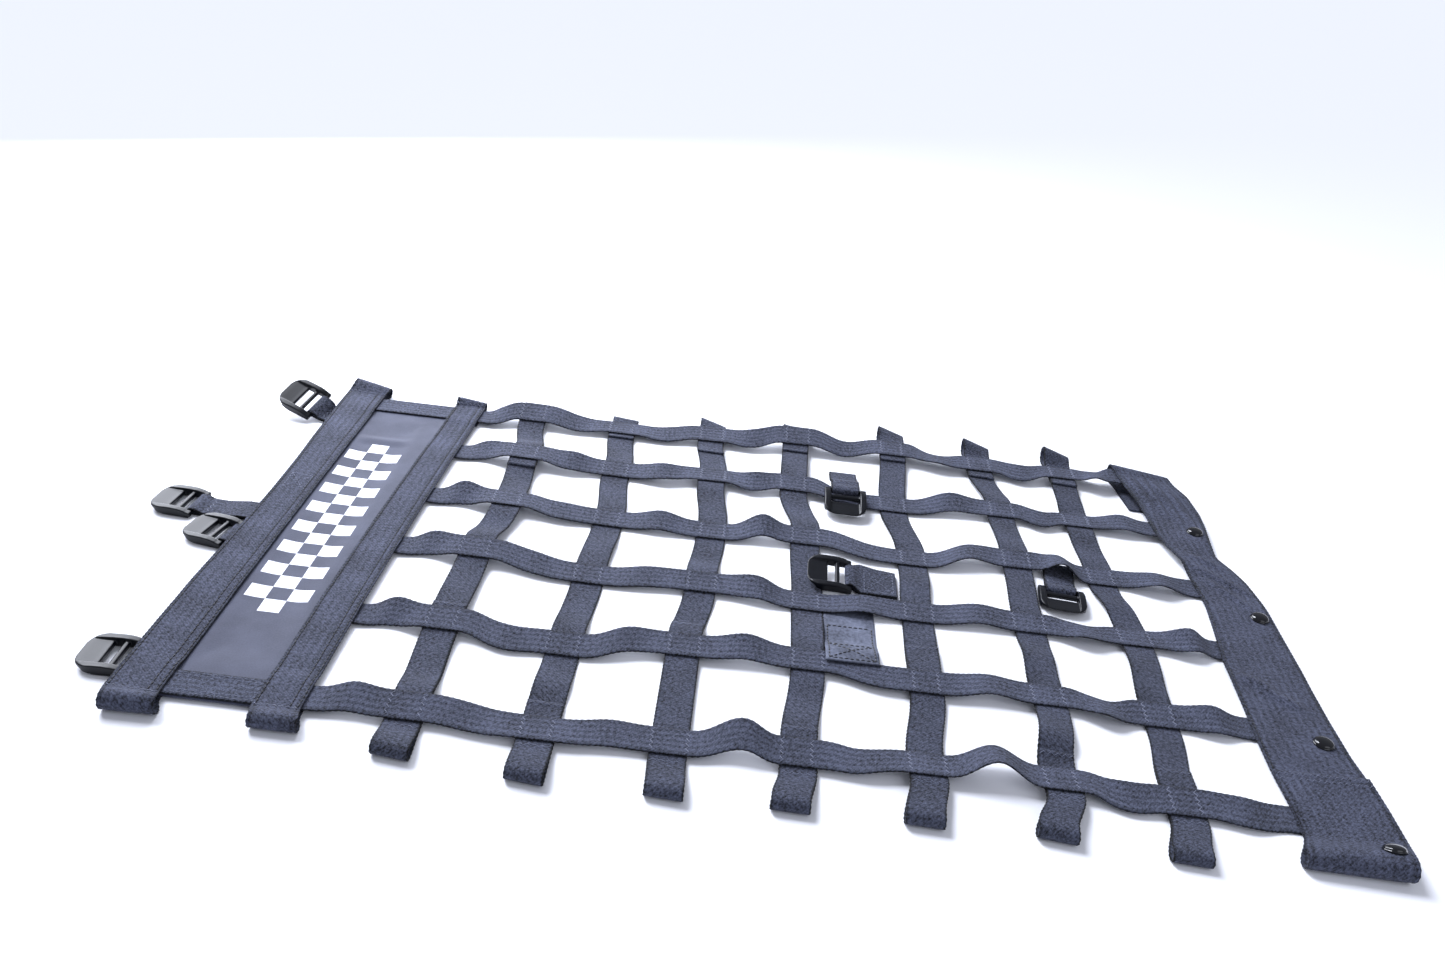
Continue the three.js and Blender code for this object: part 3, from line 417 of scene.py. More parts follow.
def rod_loop(
    lower: np.ndarray, upper: np.ndarray, way: int, loop: Loop, floor: float = LOWEST,
) -> list[np.ndarray]:
    """A rod loop, from its lower layer round the tip to its upper one.

    Args:
        lower: the line where the lower layer leaves its seat.
        upper: the line where the upper layer comes back.
        way: 1 for a loop on the far side, -1 for one on the near side.
        loop: the loop's sizes.
        floor: height of the middle of cloth that lies on the floor.

    Returns:
        Lines across the loop, in order.
    """
    leg_steps, turn_steps = 8, 16
    columns = []
    edges = ((loop.reach_left, loop.tall_left), (loop.reach_right, loop.tall_right))
    for index, (reach, tall) in enumerate(edges):
        low, high = lower[index], upper[index]
        radius = (tall - floor) / 2
        straight = reach - radius
        spots = []
        for step in range(1, leg_steps + 1):
            share = step / leg_steps
            z = max(low[2] + (floor - low[2]) * smooth(share), floor)
            spots.append((low[0] + loop.drift * smooth(share), low[1] + way * straight * share, z))
        for step in range(1, turn_steps):
            angle = math.pi * (step / turn_steps - 0.5)
            spots.append((
                low[0] + loop.drift, low[1] + way * (straight + radius * math.cos(angle)),
                floor + radius + radius * math.sin(angle)))
        for step in range(leg_steps, 0, -1):
            share = step / leg_steps
            z = high[2] + (tall - high[2]) * smooth(share)
            spots.append((high[0] + loop.drift * smooth(share), high[1] + way * straight * share, z))
        columns.append(spots)
    return [between(left, right) for left, right in zip(*columns)]


def ring_quads(rings: int, size: int) -> tuple[np.ndarray, np.ndarray]:
    """Number the points of a row of closed rings, and the faces that join each ring to the next.

    Args:
        rings: how many rings there are.
        size: how many points each one has.

    Returns:
        The points' numbers, a row for each ring, and four corners for each face.
    """
    index = np.arange(rings * size).reshape(rings, size)
    following = np.roll(index, -1, axis=1)
    sides = np.stack([index[:-1], following[:-1], following[1:], index[1:]], -1).reshape(-1, 4)
    return index, sides


def facing_up(normals: np.ndarray) -> np.ndarray:
    """Normals, each turned over where it points down."""
    return normals * np.where(normals[..., 2:] < 0, -1.0, 1.0)


@dataclass
class Ribbon:
    """A strap as a fine grid of points on its middle surface, with its normals, in millimetres."""

    lines: list[np.ndarray]
    thickness: float
    step: float = 2.0
    lanes: int = 17
    passes: int = 2
    points: np.ndarray = field(init=False)
    normals: np.ndarray = field(init=False)
    along: np.ndarray = field(init=False)
    across: np.ndarray = field(init=False)

    def __post_init__(self) -> None:
        """Resample the lines evenly, soften the bends and find the normals."""
        rough = np.array(self.lines)
        centre = rough.mean(axis=1)
        run = np.concatenate([[0.0], np.cumsum(np.linalg.norm(np.diff(centre, axis=0), axis=1))])
        count = max(int(round(run[-1] / self.step)) + 1, 4)
        stations = np.linspace(0, run[-1], count)
        edges = np.stack([
            np.stack([np.interp(stations, run, rough[:, side, axis]) for axis in range(3)], 1)
            for side in range(2)], 1)
        for _ in range(self.passes):
            edges[1:-1] = 0.25 * edges[:-2] + 0.5 * edges[1:-1] + 0.25 * edges[2:]
        self.lay(edges, stations)

    def lay(self, edges: np.ndarray, stations: np.ndarray) -> None:
        """Spread lanes between the two edges, closer together near them, and keep the grid.

        Args:
            edges: the two edge points at each station.
            stations: the stations' distances along the strap.
        """
        bend = math.pi / 2 * LANE_CROWDING
        self.across = np.sin(np.linspace(-1, 1, self.lanes) * bend) / math.sin(bend)
        share = (self.across[None, :, None] + 1) / 2
        self.points = edges[:, :1] * (1 - share) + edges[:, 1:] * share
        self.along = stations
        self.face()

    def face(self) -> None:
        """Find the normal at each point of the grid."""
        sideways = np.gradient(self.points, axis=1)
        forward = np.gradient(self.points, axis=0)
        normal = np.cross(sideways, forward)
        self.normals = normal / np.maximum(np.linalg.norm(normal, axis=2, keepdims=True), TINY)

    @property
    def length(self) -> float:
        """The strap's length along its middle line."""
        return float(self.along[-1])

    @property
    def widths(self) -> np.ndarray:
        """The strap's width at each row."""
        return np.linalg.norm(self.points[:, -1] - self.points[:, 0], axis=1)

    def on_top(self, along: np.ndarray, across: np.ndarray, lift: float) -> tuple[np.ndarray, np.ndarray]:
        """Points on the cloth's upper face, whichever side that is.

        Args:
            along: distances along the strap.
            across: places across it, from -1 to 1.
            lift: height over the face.

        Returns:
            The points and the normals there.
        """
        row = np.interp(along, self.along, np.arange(len(self.along)))
        lane = np.interp(across, self.across, np.arange(self.lanes))
        r0 = np.clip(row.astype(int), 0, len(self.along) - 2)
        l0 = np.clip(lane.astype(int), 0, self.lanes - 2)
        fr, fl = (row - r0)[:, None], (lane - l0)[:, None]

        def mix(grid: np.ndarray) -> np.ndarray:
            """A grid's value at each point, from the four places round it."""
            near, far = (grid[r, l0] * (1 - fl) + grid[r, l0 + 1] * fl for r in (r0, r0 + 1))
            return near * (1 - fr) + far * fr

        normal = facing_up(mix(self.normals))
        return mix(self.points) + normal * (self.thickness / 2 + lift), normal

    def where(self, place: float, axis: int = 1, top: bool = True) -> float:
        """Where the strap's middle line passes a place on one axis.

        Args:
            place: the place, in the net's grid.
            axis: 0 for X, 1 for Y.
            top: whether the upper one is wanted, where the strap passes it more than once.

        Returns:
            The distance along the strap.
        """
        middle = self.points[:, self.lanes // 2]
        rows = np.nonzero(np.abs(middle[:, axis] - place) < self.step)[0]
        best = rows[np.argmax(middle[rows, 2])] if top else rows[np.argmin(middle[rows, 2])]
        return float(self.along[best])

    def faces(self) -> np.ndarray:
        """Number the faces of the closed strap: its two sides and its two ends.

        Returns:
            Four corners for each face.
        """
        size = 2 * self.lanes
        index, sides = ring_quads(len(self.along), size)
        lane = np.arange(self.lanes - 1)
        across = (lane, lane + 1, size - 2 - lane, size - 1 - lane)
        start = np.stack([index[0, across[n]] for n in (1, 0, 3, 2)], -1)
        end = np.stack([index[-1, lanes] for lanes in across], -1)
        return np.concatenate([sides, start, end])

    def mesh(
        self, name: str, ribs: float, rib_count: float, serration: float, seams: Sequence[float] = (),
    ) -> Mesh:
        """The closed mesh of the strap.

        Args:
            name: the mesh's name.
            ribs: height of the woven ribs, in millimetres.
            rib_count: how many ribs run across the width.
            serration: how far every other pick stands out at the edges, in millimetres.
            seams: places across the strap where a row of stitches draws it in, from -1 to 1.

        Returns:
            The mesh, in metres in the row frame, with its cloth coordinates in metres and its painted shade
            at the edges and seams.
        """
        rows, lanes, widths = len(self.along), self.lanes, self.widths
        edge = np.clip((1 - np.abs(self.across)) / EDGE_SHARE, 0, 1)
        round_edge = 0.55 + 0.45 * np.sqrt(1 - (1 - edge) ** 2)
        sunk = np.zeros(lanes)
        for seam in seams:
            sunk = sunk + np.exp(-((self.across - seam) * widths.mean() / 2 / SEAM_HALF) ** 2)
        rib = ribs * (0.5 + 0.5 * np.cos(math.pi * rib_count * self.across)) * (edge > 0.99)
        rib = rib - SEAM_DEPTH * sunk
        sideways = self.points[:, -1:] - self.points[:, :1]
        sideways = sideways / np.linalg.norm(sideways, axis=2, keepdims=True)
        pick = serration * np.where(np.arange(rows) % 2 == 0, 1.0, -1.0)[:, None]
        push = np.zeros((rows, lanes))
        push[:, :1], push[:, -1:] = -pick, pick
        spots = self.points + sideways * push[:, :, None]
        rise = (self.thickness / 2 * round_edge)[None, :, None] + (rib - ribs / 2)[None, :, None]
        top, under = spots + self.normals * rise, spots - self.normals * rise
        ring = np.concatenate([top, under[:, ::-1]], axis=1)
        u = np.concatenate([self.across, self.across[::-1]])[None, :] * widths[:, None] / 2
        v = np.repeat(self.along[:, None], 2 * lanes, axis=1)
        mesh = solid_mesh(name, ring.reshape(-1, 3), self.faces(), u.ravel(), v.ravel())
        # Painted shade: darker towards each edge of the strap and in the groove of each seam
        drawn_in = PAINTED_SHADE_WIDTH * 2 / widths[:, None]
        dark = np.clip((np.abs(self.across)[None, :] - 1 + drawn_in) / drawn_in, 0, 1) ** 2
        dark = dark + SEAM_SHADE * sunk
        layer = mesh.attributes.new(name="painted_edge_shade", type="FLOAT", domain="POINT")
        layer.data.foreach_set("value", np.concatenate([dark, dark[:, ::-1]], 1).astype(np.float32).ravel())
        return mesh


def solid_mesh(
    name: str, points: np.ndarray, quads: np.ndarray, u: np.ndarray | None = None,
    v: np.ndarray | None = None,
) -> Mesh:
    """A mesh from millimetre points in the net's grid.

    Args:
        name: the mesh's name.
        points: the points.
        quads: four corners for each face.
        u: cloth coordinate across, in millimetres.
        v: cloth coordinate along, in millimetres.

    Returns:
        The mesh, in metres in the row frame.
    """
    mesh = bpy.data.meshes.new(name)
    mesh.vertices.add(len(points))
    mesh.vertices.foreach_set("co", ((points + NET_ORIGIN) * MM).astype(np.float32).ravel())
    mesh.loops.add(quads.size)
    mesh.loops.foreach_set("vertex_index", quads.astype(np.int32).ravel())
    mesh.polygons.add(len(quads))
    mesh.polygons.foreach_set("loop_start", np.arange(0, quads.size, 4, dtype=np.int32))
    mesh.polygons.foreach_set("use_smooth", np.ones(len(quads), bool))
    if u is not None:
        layer = mesh.uv_layers.new(name="Cloth")
        flat = np.stack([u[quads.ravel()], v[quads.ravel()]], 1) * MM
        layer.data.foreach_set("uv", flat.astype(np.float32).ravel())
    mesh.update(calc_edges=True)
    mesh.validate()
    return mesh


def weld(mesh: Mesh) -> None:
    """Join the points of a mesh that lie together, and shade it smooth.

    Args:
        mesh: the mesh, which is changed.
    """
    work = bmesh.new()
    work.from_mesh(mesh)
    bmesh.ops.remove_doubles(work, verts=work.verts, dist=0.01 * MM)
    bmesh.ops.recalc_face_normals(work, faces=work.faces)
    work.to_mesh(mesh)
    work.free()
    for polygon in mesh.polygons:
        polygon.use_smooth = True


@dataclass
class Stitching:
    """Threads sewn into cloth, gathered into one mesh."""

    radius: float = 0.27
    points: list[np.ndarray] = field(default_factory=list)
    quads: list[np.ndarray] = field(default_factory=list)
    count: int = 0

    def thread(self, path: np.ndarray, normals: np.ndarray) -> None:
        """Lay one four-sided thread on the cloth.

        Args:
            path: the points that its middle passes.
            normals: the cloth's normals there.
        """
        forward = np.gradient(path, axis=0)
        forward /= np.maximum(np.linalg.norm(forward, axis=1, keepdims=True), TINY)
        side = np.cross(forward, normals)
        side /= np.maximum(np.linalg.norm(side, axis=1, keepdims=True), TINY)
        ring = np.stack([path + way * self.radius for way in (side, normals, -side, -normals)], 1)
        index, sides = ring_quads(len(path), 4)
        ends = np.array([index[0], index[-1][::-1]])
        self.points.append(ring.reshape(-1, 3))
        self.quads.append(np.concatenate([sides[:, [0, 3, 2, 1]], ends]) + self.count)
        self.count += index.size

    def zigzag(self, ribbon: Ribbon, along: float, reach: float = 0.9) -> None:
        """Sew a bar of zigzag stitches across a strap.

        Args:
            ribbon: the strap.
            along: the bar's distance along it.
            reach: the share of the width that the bar takes up.
        """
        swing, pitch, rim = 1.1, 2.1, 0.3
        width = float(np.linalg.norm(ribbon.points[0, -1] - ribbon.points[0, 0]))
        count = max(int(width * reach / pitch), 4)
        across = np.linspace(-reach, reach, count)
        beside = along + swing * np.where(np.arange(count) % 2 == 0, 1.0, -1.0)
        self.thread(*ribbon.on_top(np.clip(beside, rim, ribbon.length - rim), across, 0.05))

    def dashes(self, ribbon: Ribbon, start: Pair, end: Pair, dash: float = 2.8, gap: float = 1.3) -> None:
        """Sew a row of straight stitches.

        Args:
            ribbon: the strap.
            start: where the row starts, as a distance along the strap and a place across it.
            end: where it ends.
            dash: a stitch's length.
            gap: the gap after it.
        """
        width = float(np.linalg.norm(ribbon.points[0, -1] - ribbon.points[0, 0])) / 2
        run = math.hypot(end[0] - start[0], (end[1] - start[1]) * width)
        for place in np.arange(0, run - dash, dash + gap):
            share = np.array([place, place + dash * 0.25, place + dash * 0.75, place + dash]) / run
            along = start[0] + (end[0] - start[0]) * share
            across = start[1] + (end[1] - start[1]) * share
            path, normals = ribbon.on_top(along, across, 0.0)
            self.thread(path + normals * STITCH_SINK, normals)

    def box(self, ribbon: Ribbon, along: Pair, across: Pair, crossed: bool = True) -> None:
        """Sew a box.

        Args:
            ribbon: the strap.
            along: the distances along it between which the box lies.
            across: the places across it between which it lies.
            crossed: whether a cross is sewn inside.
        """
        (low, high), (left, right) = along, across
        corners = [(low, left), (high, left), (high, right), (low, right)]
        for start, end in zip(corners, corners[1:] + corners[:1]):
            self.dashes(ribbon, start, end)
        if crossed:
            self.dashes(ribbon, corners[0], corners[2])
            self.dashes(ribbon, corners[1], corners[3])

    def mesh(self, name: str) -> Mesh:
        """All the threads as one mesh."""
        return solid_mesh(name, np.concatenate(self.points), np.concatenate(self.quads))


def linear(code: str) -> tuple[float, float, float, float]:
    """Linear colour of an sRGB hex code."""
    parts = [int(code[i:i + 2], 16) / 255 for i in (1, 3, 5)]
    return (*(p / 12.92 if p <= 0.04045 else ((p + 0.055) / 1.055) ** 2.4 for p in parts), 1.0)


def plug(node: bpy.types.Node, inputs: dict[Any, Any]) -> None:
    """Give a node's own inputs their constants and their links.

    Args:
        node: the node.
        inputs: a value or an output for each input, by name or number.
    """
    for key, value in inputs.items():
        if isinstance(value, Socket):
            node.id_data.links.new(value, node.inputs[key])
        else:
            node.inputs[key].default_value = value


def add_node(material: Material, kind: str, inputs: dict[Any, Any], **settings: Any) -> bpy.types.Node:
    """Add a node with its settings and links.

    Args:
        material: the material that gets it.
        kind: the node's type.
        inputs: a value or an output for each input, by name or number.
        settings: the node's own properties.

    Returns:
        The node.
    """
    node = material.node_tree.nodes.new(kind)
    for name, value in settings.items():
        setattr(node, name, value)
    plug(node, inputs)
    return node


def blank(name: str) -> tuple[Material, bpy.types.Node]:
    """Make a new material.

    Args:
        name: its name.

    Returns:
        The material and its shader.
    """
    material = bpy.data.materials.new(name)
    material.use_nodes = True
    return material, material.node_tree.nodes["Principled BSDF"]


def wave_scale(size_mm: float) -> float:
    """The scale of a wave texture whose bands are this far apart on the cloth."""
    return 2 * math.pi / (20 * size_mm * MM)


class Ribbing(Enum):
    """Which way a strap's woven ribs run, as the direction of the bands across them."""

    LENGTHWISE = "X"
    TWILL = "DIAGONAL"


@dataclass(frozen=True)
class WovenNylon:
    """Nylon webbing, piece dyed and woven on a narrow loom.

    To the eye it is a matt charcoal with a cold cast. Its ribs catch the light in soft lines and single
    picks glint. Its edges, where the weft turns, and the grooves of its seams are darkened with painted
    shade.
    """

    name: str = "woven_nylon"
    dark: str = "#07080b"
    light: str = "#575c70"
    roughness: float = 0.85
    sheen: float = 0.05
    glint: float = 0.16
    pick_mm: float = 1.0          # real picks are about 0.6 mm, drawn coarser so that they show
    rib_mm: float = 5.1           # five ribs across one inch
    rib_weight: float = 0.24
    # how strong the painted shade at the edges and seams is
    painted_edge_shade: float = 1.4
    ribbing: Ribbing = Ribbing.TWILL
    fibre_mm: float = 2.4
    fade_mm: float = 38.0
    wear_mm: float = 30.0
    flecks: Pair = (6.5, -2.45)   # how strong the fibres' flecks are, and what is taken off them
    pick_weight: float = 0.4
    wear_weight: float = 1.3
    shades: Pair = (0.75, 2.8)    # where the cloth is darkest and where it is lightest
    relief_mm: float = 0.3

    def weave(self, material: Material, cloth: Socket) -> Socket:
        """The height of the weave: its picks, broken up by its fibres.

        Args:
            material: the material that gets the nodes.
            cloth: the cloth coordinates.

        Returns:
            The output that holds the height.
        """
        twill = add_node(material, "ShaderNodeTexWave", {
            "Vector": cloth, "Scale": wave_scale(self.pick_mm) / math.sqrt(2), "Distortion": 4.0,
            "Detail": 2.0, "Detail Scale": 1.5}, bands_direction="DIAGONAL")
        fibres = add_node(material, "ShaderNodeTexNoise", {
            "Vector": cloth, "Scale": 1 / (self.fibre_mm * MM), "Detail": 4.0, "Roughness": 0.85})
        flecks = add_node(material, "ShaderNodeMath", {
            0: fibres.outputs["Fac"], 1: self.flecks[0], 2: self.flecks[1]}, operation="MULTIPLY_ADD")
        return add_node(material, "ShaderNodeMath", {
            0: twill.outputs["Fac"], 1: self.pick_weight, 2: flecks.outputs[0]},
            operation="MULTIPLY_ADD").outputs[0]

    def ribs(self, material: Material, cloth: Socket) -> Socket:
        """The height of the broad ribs, which fade in and out.

        Args:
            material: the material that gets the nodes.
            cloth: the cloth coordinates.

        Returns:
            The output that holds the height.
        """
        bands = add_node(material, "ShaderNodeTexWave", {
            "Vector": cloth, "Scale": wave_scale(self.rib_mm), "Distortion": 1.2, "Detail": 1.0,
            "Detail Scale": 0.4}, bands_direction=self.ribbing.value)
        fade = add_node(material, "ShaderNodeTexNoise", {
            "Vector": cloth, "Scale": 1 / (self.fade_mm * MM), "Detail": 1.0})
        return add_node(material, "ShaderNodeMath", {
            0: bands.outputs["Fac"], 1: fade.outputs["Fac"]}, operation="MULTIPLY").outputs[0]

    def material(self) -> Material:
        """Make the finish.

        Returns:
            The material.
        """
        material, shader = blank(self.name)
        cloth = add_node(material, "ShaderNodeUVMap", {}, uv_map="Cloth").outputs["UV"]
        # the painted shade that the mesh lays on its edges and seams
        edge = add_node(material, "ShaderNodeAttribute", {}, attribute_name="painted_edge_shade").outputs["Fac"]
        weave, ribs = self.weave(material, cloth), self.ribs(material, cloth)
        wear = add_node(material, "ShaderNodeTexNoise", {
            "Vector": cloth, "Scale": 1 / (self.wear_mm * MM), "Detail": 3.0, "Roughness": 0.5})
        shade = weave
        worn = wear.outputs["Fac"]
        # wear and ribs lighten the colour, and the painted edge shade darkens it
        parts = ((worn, self.wear_weight), (ribs, 4 * self.rib_weight), (edge, -self.painted_edge_shade))
        for part, weight in parts:
            shade = add_node(material, "ShaderNodeMath", {
                0: part, 1: weight, 2: shade}, operation="MULTIPLY_ADD").outputs[0]
        tone = add_node(material, "ShaderNodeMapRange", {
            "Value": shade, "From Min": self.shades[0], "From Max": self.shades[1]})
        colour = add_node(material, "ShaderNodeMix", {
            "Factor": tone.outputs["Result"], "A": linear(self.dark), "B": linear(self.light)},
            data_type="RGBA")
        height = add_node(material, "ShaderNodeMath", {
            0: ribs, 1: 3 * self.rib_weight, 2: weave}, operation="MULTIPLY_ADD")
        bump = add_node(material, "ShaderNodeBump", {
            "Strength": 0.7, "Distance": self.relief_mm * MM, "Height": height.outputs[0]})
        plug(shader, {
            "Base Color": colour.outputs["Result"],   # charcoal, lighter where it is worn
            "Normal": bump.outputs["Normal"],         # picks and ribs that catch the light
            "Roughness": self.roughness,              # matt, as spun yarn is
            "Sheen Weight": self.sheen,               # a faint bloom at a low angle
            "Sheen Roughness": 0.5,
            "Specular IOR Level": self.glint,         # fibres hide most of the nylon's gloss
            "IOR": 1.53})                             # nylon
        return material


class Chequers(NamedTuple):
    """A printed patch of chequers, in millimetres from the cloth's middle and its near edge."""

    left: float
    cell: float
    columns: int
    near: float
    rows: int


@dataclass(frozen=True)
class CoatedCloth:
    """Polyester cloth with a polyurethane coat.

    To the eye it is a smooth, slightly shiny slate grey, over which the thread shows only faintly.
    """

    name: str = "coated_cloth"
    dark: str = "#363949"
    light: str = "#4b4f61"
    print_colour: str = "#e4e6f0"
    roughness: float = 0.7
    glint: float = 0.2
    thread_mm: float = 1.0        # real threads are about 0.35 mm, drawn coarser so that they show
    grain_mm: float = 1.2
    cloud_mm: float = 40.0
    chequers: Chequers | None = None

    def printed(self, material: Material, cloth: Socket) -> Socket:
        """Where the printed chequers are, as 0 or 1.

        Args:
            material: the material that gets the nodes.
            cloth: the cloth coordinates.

        Returns:
            The output that holds the mask.
        """
        patch = self.chequers
        cell = patch.cell * MM
        moved = add_node(material, "ShaderNodeVectorMath", {
            0: cloth, 1: (-patch.left * MM, -patch.near * MM, 0.5 * cell)}, operation="ADD")
        squares = add_node(material, "ShaderNodeTexChecker", {
            "Vector": moved.outputs[0], "Color1": (1, 1, 1, 1), "Color2": (0, 0, 0, 1), "Scale": 1 / cell})
        parts = add_node(material, "ShaderNodeSeparateXYZ", {0: moved.outputs[0]})
        mask = squares.outputs["Fac"]
        for axis, count in ((0, patch.columns), (1, patch.rows)):
            for limit, operation in ((0.0, "GREATER_THAN"), (count * cell, "LESS_THAN")):
                inside = add_node(material, "ShaderNodeMath", {
                    0: parts.outputs[axis], 1: limit}, operation=operation)
                mask = add_node(material, "ShaderNodeMath", {
                    0: mask, 1: inside.outputs[0]}, operation="MULTIPLY").outputs[0]
        return mask

    def material(self) -> Material:
        """Make the finish.

        Returns:
            The material.
        """
        material, shader = blank(self.name)
        cloth = add_node(material, "ShaderNodeUVMap", {}, uv_map="Cloth").outputs["UV"]
        warp, weft = (add_node(material, "ShaderNodeTexWave", {
            "Vector": cloth, "Scale": wave_scale(self.thread_mm), "Distortion": 0.5, "Detail": 1.0},
            bands_direction=axis) for axis in "XY")
        weave = add_node(material, "ShaderNodeMath", {
            0: warp.outputs["Fac"], 1: weft.outputs["Fac"]}, operation="MULTIPLY")
        broad = add_node(material, "ShaderNodeTexNoise", {
            "Vector": cloth, "Scale": 1 / (self.cloud_mm * MM), "Detail": 4.0, "Roughness": 0.55})
        grain = add_node(material, "ShaderNodeTexNoise", {
            "Vector": cloth, "Scale": 1 / (self.grain_mm * MM), "Detail": 2.0, "Roughness": 0.6})
        tone = add_node(material, "ShaderNodeMath", {
            0: grain.outputs["Fac"], 1: 0.5, 2: broad.outputs["Fac"]}, operation="MULTIPLY_ADD")
        spread = add_node(material, "ShaderNodeMapRange", {
            "Value": tone.outputs[0], "From Min": 0.5, "From Max": 1.0})
        face = add_node(material, "ShaderNodeMix", {
            "Factor": spread.outputs["Result"], "A": linear(self.dark), "B": linear(self.light)},
            data_type="RGBA").outputs["Result"]
        if self.chequers:
            face = add_node(material, "ShaderNodeMix", {
                "Factor": self.printed(material, cloth), "A": face, "B": linear(self.print_colour)},
                data_type="RGBA").outputs["Result"]
        bump = add_node(material, "ShaderNodeBump", {
            "Strength": 0.3, "Distance": 0.2 * MM, "Height": weave.outputs[0]})
        plug(shader, {
            "Base Color": face,                       # slate, with the white print where there is one
            "Normal": bump.outputs["Normal"],         # threads just felt through the coat
            "Roughness": self.roughness,              # a dull plastic shine
            "IOR": 1.5,                               # polyurethane
            "Specular IOR Level": self.glint,
            "Sheen Weight": 0.03})
        return material


@dataclass(frozen=True)
class Moulded:
    """Moulded acetal or lacquered metal: to the eye, a hard black skin with sharp, small reflections."""

    name: str
    colour: str
    worn: str
    roughness: float
    coat: float
    glint: float
    grain_mm: float = 5.0

    def material(self) -> Material:
        """Make the finish.

        Returns:
            The material.
        """
        material, shader = blank(self.name)
        place = add_node(material, "ShaderNodeTexCoord", {}).outputs["Object"]
        flow = add_node(material, "ShaderNodeTexNoise", {
            "Vector": place, "Scale": 1 / (self.grain_mm * MM), "Detail": 3.0, "Roughness": 0.5})
        colour = add_node(material, "ShaderNodeMix", {
            "Factor": flow.outputs["Fac"], "A": linear(self.colour), "B": linear(self.worn)},
            data_type="RGBA")
        gloss = add_node(material, "ShaderNodeMapRange", {
            "Value": flow.outputs["Fac"], "To Min": self.roughness * 0.9, "To Max": self.roughness * 1.15})
        bump = add_node(material, "ShaderNodeBump", {
            "Strength": 0.04, "Distance": 0.1 * MM, "Height": flow.outputs["Fac"]})
        plug(shader, {
            "Base Color": colour.outputs["Result"],   # black, a little greyer where it has rubbed
            "Roughness": gloss.outputs["Result"],     # smooth, and not evenly so
            "Normal": bump.outputs["Normal"],         # the flow marks of the mould
            "Coat Weight": self.coat,                 # lacquer, on the caps alone
            "Coat Roughness": 0.05,
            "Specular IOR Level": self.glint,
            "IOR": 1.49})                             # acetal, and near to a lacquer's
        return material


@dataclass(frozen=True)
class BondedThread:
    """Bonded nylon sewing thread: to the eye, twisted plies with a soft shine beside the matt webbing."""

    name: str = "bonded_thread"
    dark: str = "#4a5066"
    light: str = "#7c8299"
    roughness: float = 0.5
    twist_mm: float = 0.8

    def material(self) -> Material:
        """Make the finish.

        Returns:
            The material.
        """
        material, shader = blank(self.name)
        place = add_node(material, "ShaderNodeTexCoord", {}).outputs["Object"]
        twist = add_node(material, "ShaderNodeTexNoise", {
            "Vector": place, "Scale": 1 / (self.twist_mm * MM), "Detail": 2.0, "Roughness": 0.6})
        colour = add_node(material, "ShaderNodeMix", {
            "Factor": twist.outputs["Fac"], "A": linear(self.dark), "B": linear(self.light)},
            data_type="RGBA")
        bump = add_node(material, "ShaderNodeBump", {
            "Strength": 0.3, "Distance": 0.1 * MM, "Height": twist.outputs["Fac"]})
        plug(shader, {
            "Base Color": colour.outputs["Result"],   # lighter and darker plies in turn
            "Normal": bump.outputs["Normal"],         # the twist
            "Roughness": self.roughness,              # the bond's soft shine
            "Sheen Weight": 0.1})
        return material


@dataclass(frozen=True)
class Palette:
    """The net's finishes as materials, made once."""

    webbing: Material
    ribbed: Material
    band: Material
    panel: Material
    tab: Material
    thread: Material
    dark_thread: Material
    acetal: Material
    lacquer: Material

    @classmethod
    def mixed(cls) -> "Palette":
        """Mix every finish.

        Returns:
            The palette.
        """
        # the band's edges and seams get weaker painted shade than the webbing's
        band = WovenNylon(
            name="woven_nylon_band", dark="#08090d", light="#585d72", painted_edge_shade=0.9, rib_mm=6.0,
            rib_weight=0.16, ribbing=Ribbing.LENGTHWISE)
        acetal = Moulded("moulded_acetal", "#06070b", "#0e1118", roughness=0.3, coat=0.0, glint=0.24)
        lacquer = Moulded("lacquered_cap", "#07080b", "#101218", roughness=0.1, coat=0.25, glint=0.4)
        return cls(
            webbing=WovenNylon(rib_mm=3.4, rib_weight=0.05).material(),
            ribbed=WovenNylon(name="ribbed_nylon", ribbing=Ribbing.LENGTHWISE).material(),
            band=band.material(),
            panel=CoatedCloth(chequers=Chequers(left=-26, cell=16, columns=3, near=104, rows=17)).material(),
            tab=CoatedCloth(name="coated_tab", dark="#1d202a", light="#757b8f", grain_mm=2.6).material(),
            thread=BondedThread().material(),
            dark_thread=BondedThread("bonded_thread_dark", "#0a0c11", "#191c26").material(),
            acetal=acetal.material(),
            lacquer=lacquer.material(),
        )


def show(mesh: Mesh, material: Material, nodes: Sequence[str] = ()) -> bpy.types.Object:
    """Put a piece in the scene.

    Args:
        mesh: its mesh, in the row frame.
        material: its finish.
        nodes: the frame's nodes that it stands for.

    Returns:
        The piece.
    """
    piece = bpy.data.objects.new(mesh.name, mesh)
    bpy.context.scene.collection.objects.link(piece)
    mesh.materials.append(material)
    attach(piece, "root")
    if nodes:
        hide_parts(*nodes)
    log.info("%s: %d faces", piece.name, len(mesh.polygons))
    return piece


@dataclass
class Strap:
    """A finished strap: its cloth and its threads, with the names of what it rests on."""

    node: str
    ribbon: Ribbon
    width: float = WEBBING_WIDTH
    ribs: float = 0.12
    rib_count: float = 4.0
    serration: float = 0.2
    seams: tuple[float, ...] = ()
    rests_on: tuple[str, ...] = ()

    def dress(self, cloth: Material, sewing: dict[str, tuple[Stitching, Material]]) -> None:
        """Args:
            cloth: the webbing's finish.
            sewing: the threads and their finish, under the name of each kind.
        """
        mesh = self.ribbon.mesh(f"cloth_{self.node}", self.ribs, self.rib_count, self.serration, self.seams)
        piece = show(mesh, cloth, [self.node])
        sewn = [show(threads.mesh(f"{kind}_{self.node}"), finish)
                for kind, (threads, finish) in sewing.items() if threads.points]
        list(self.rests_on)


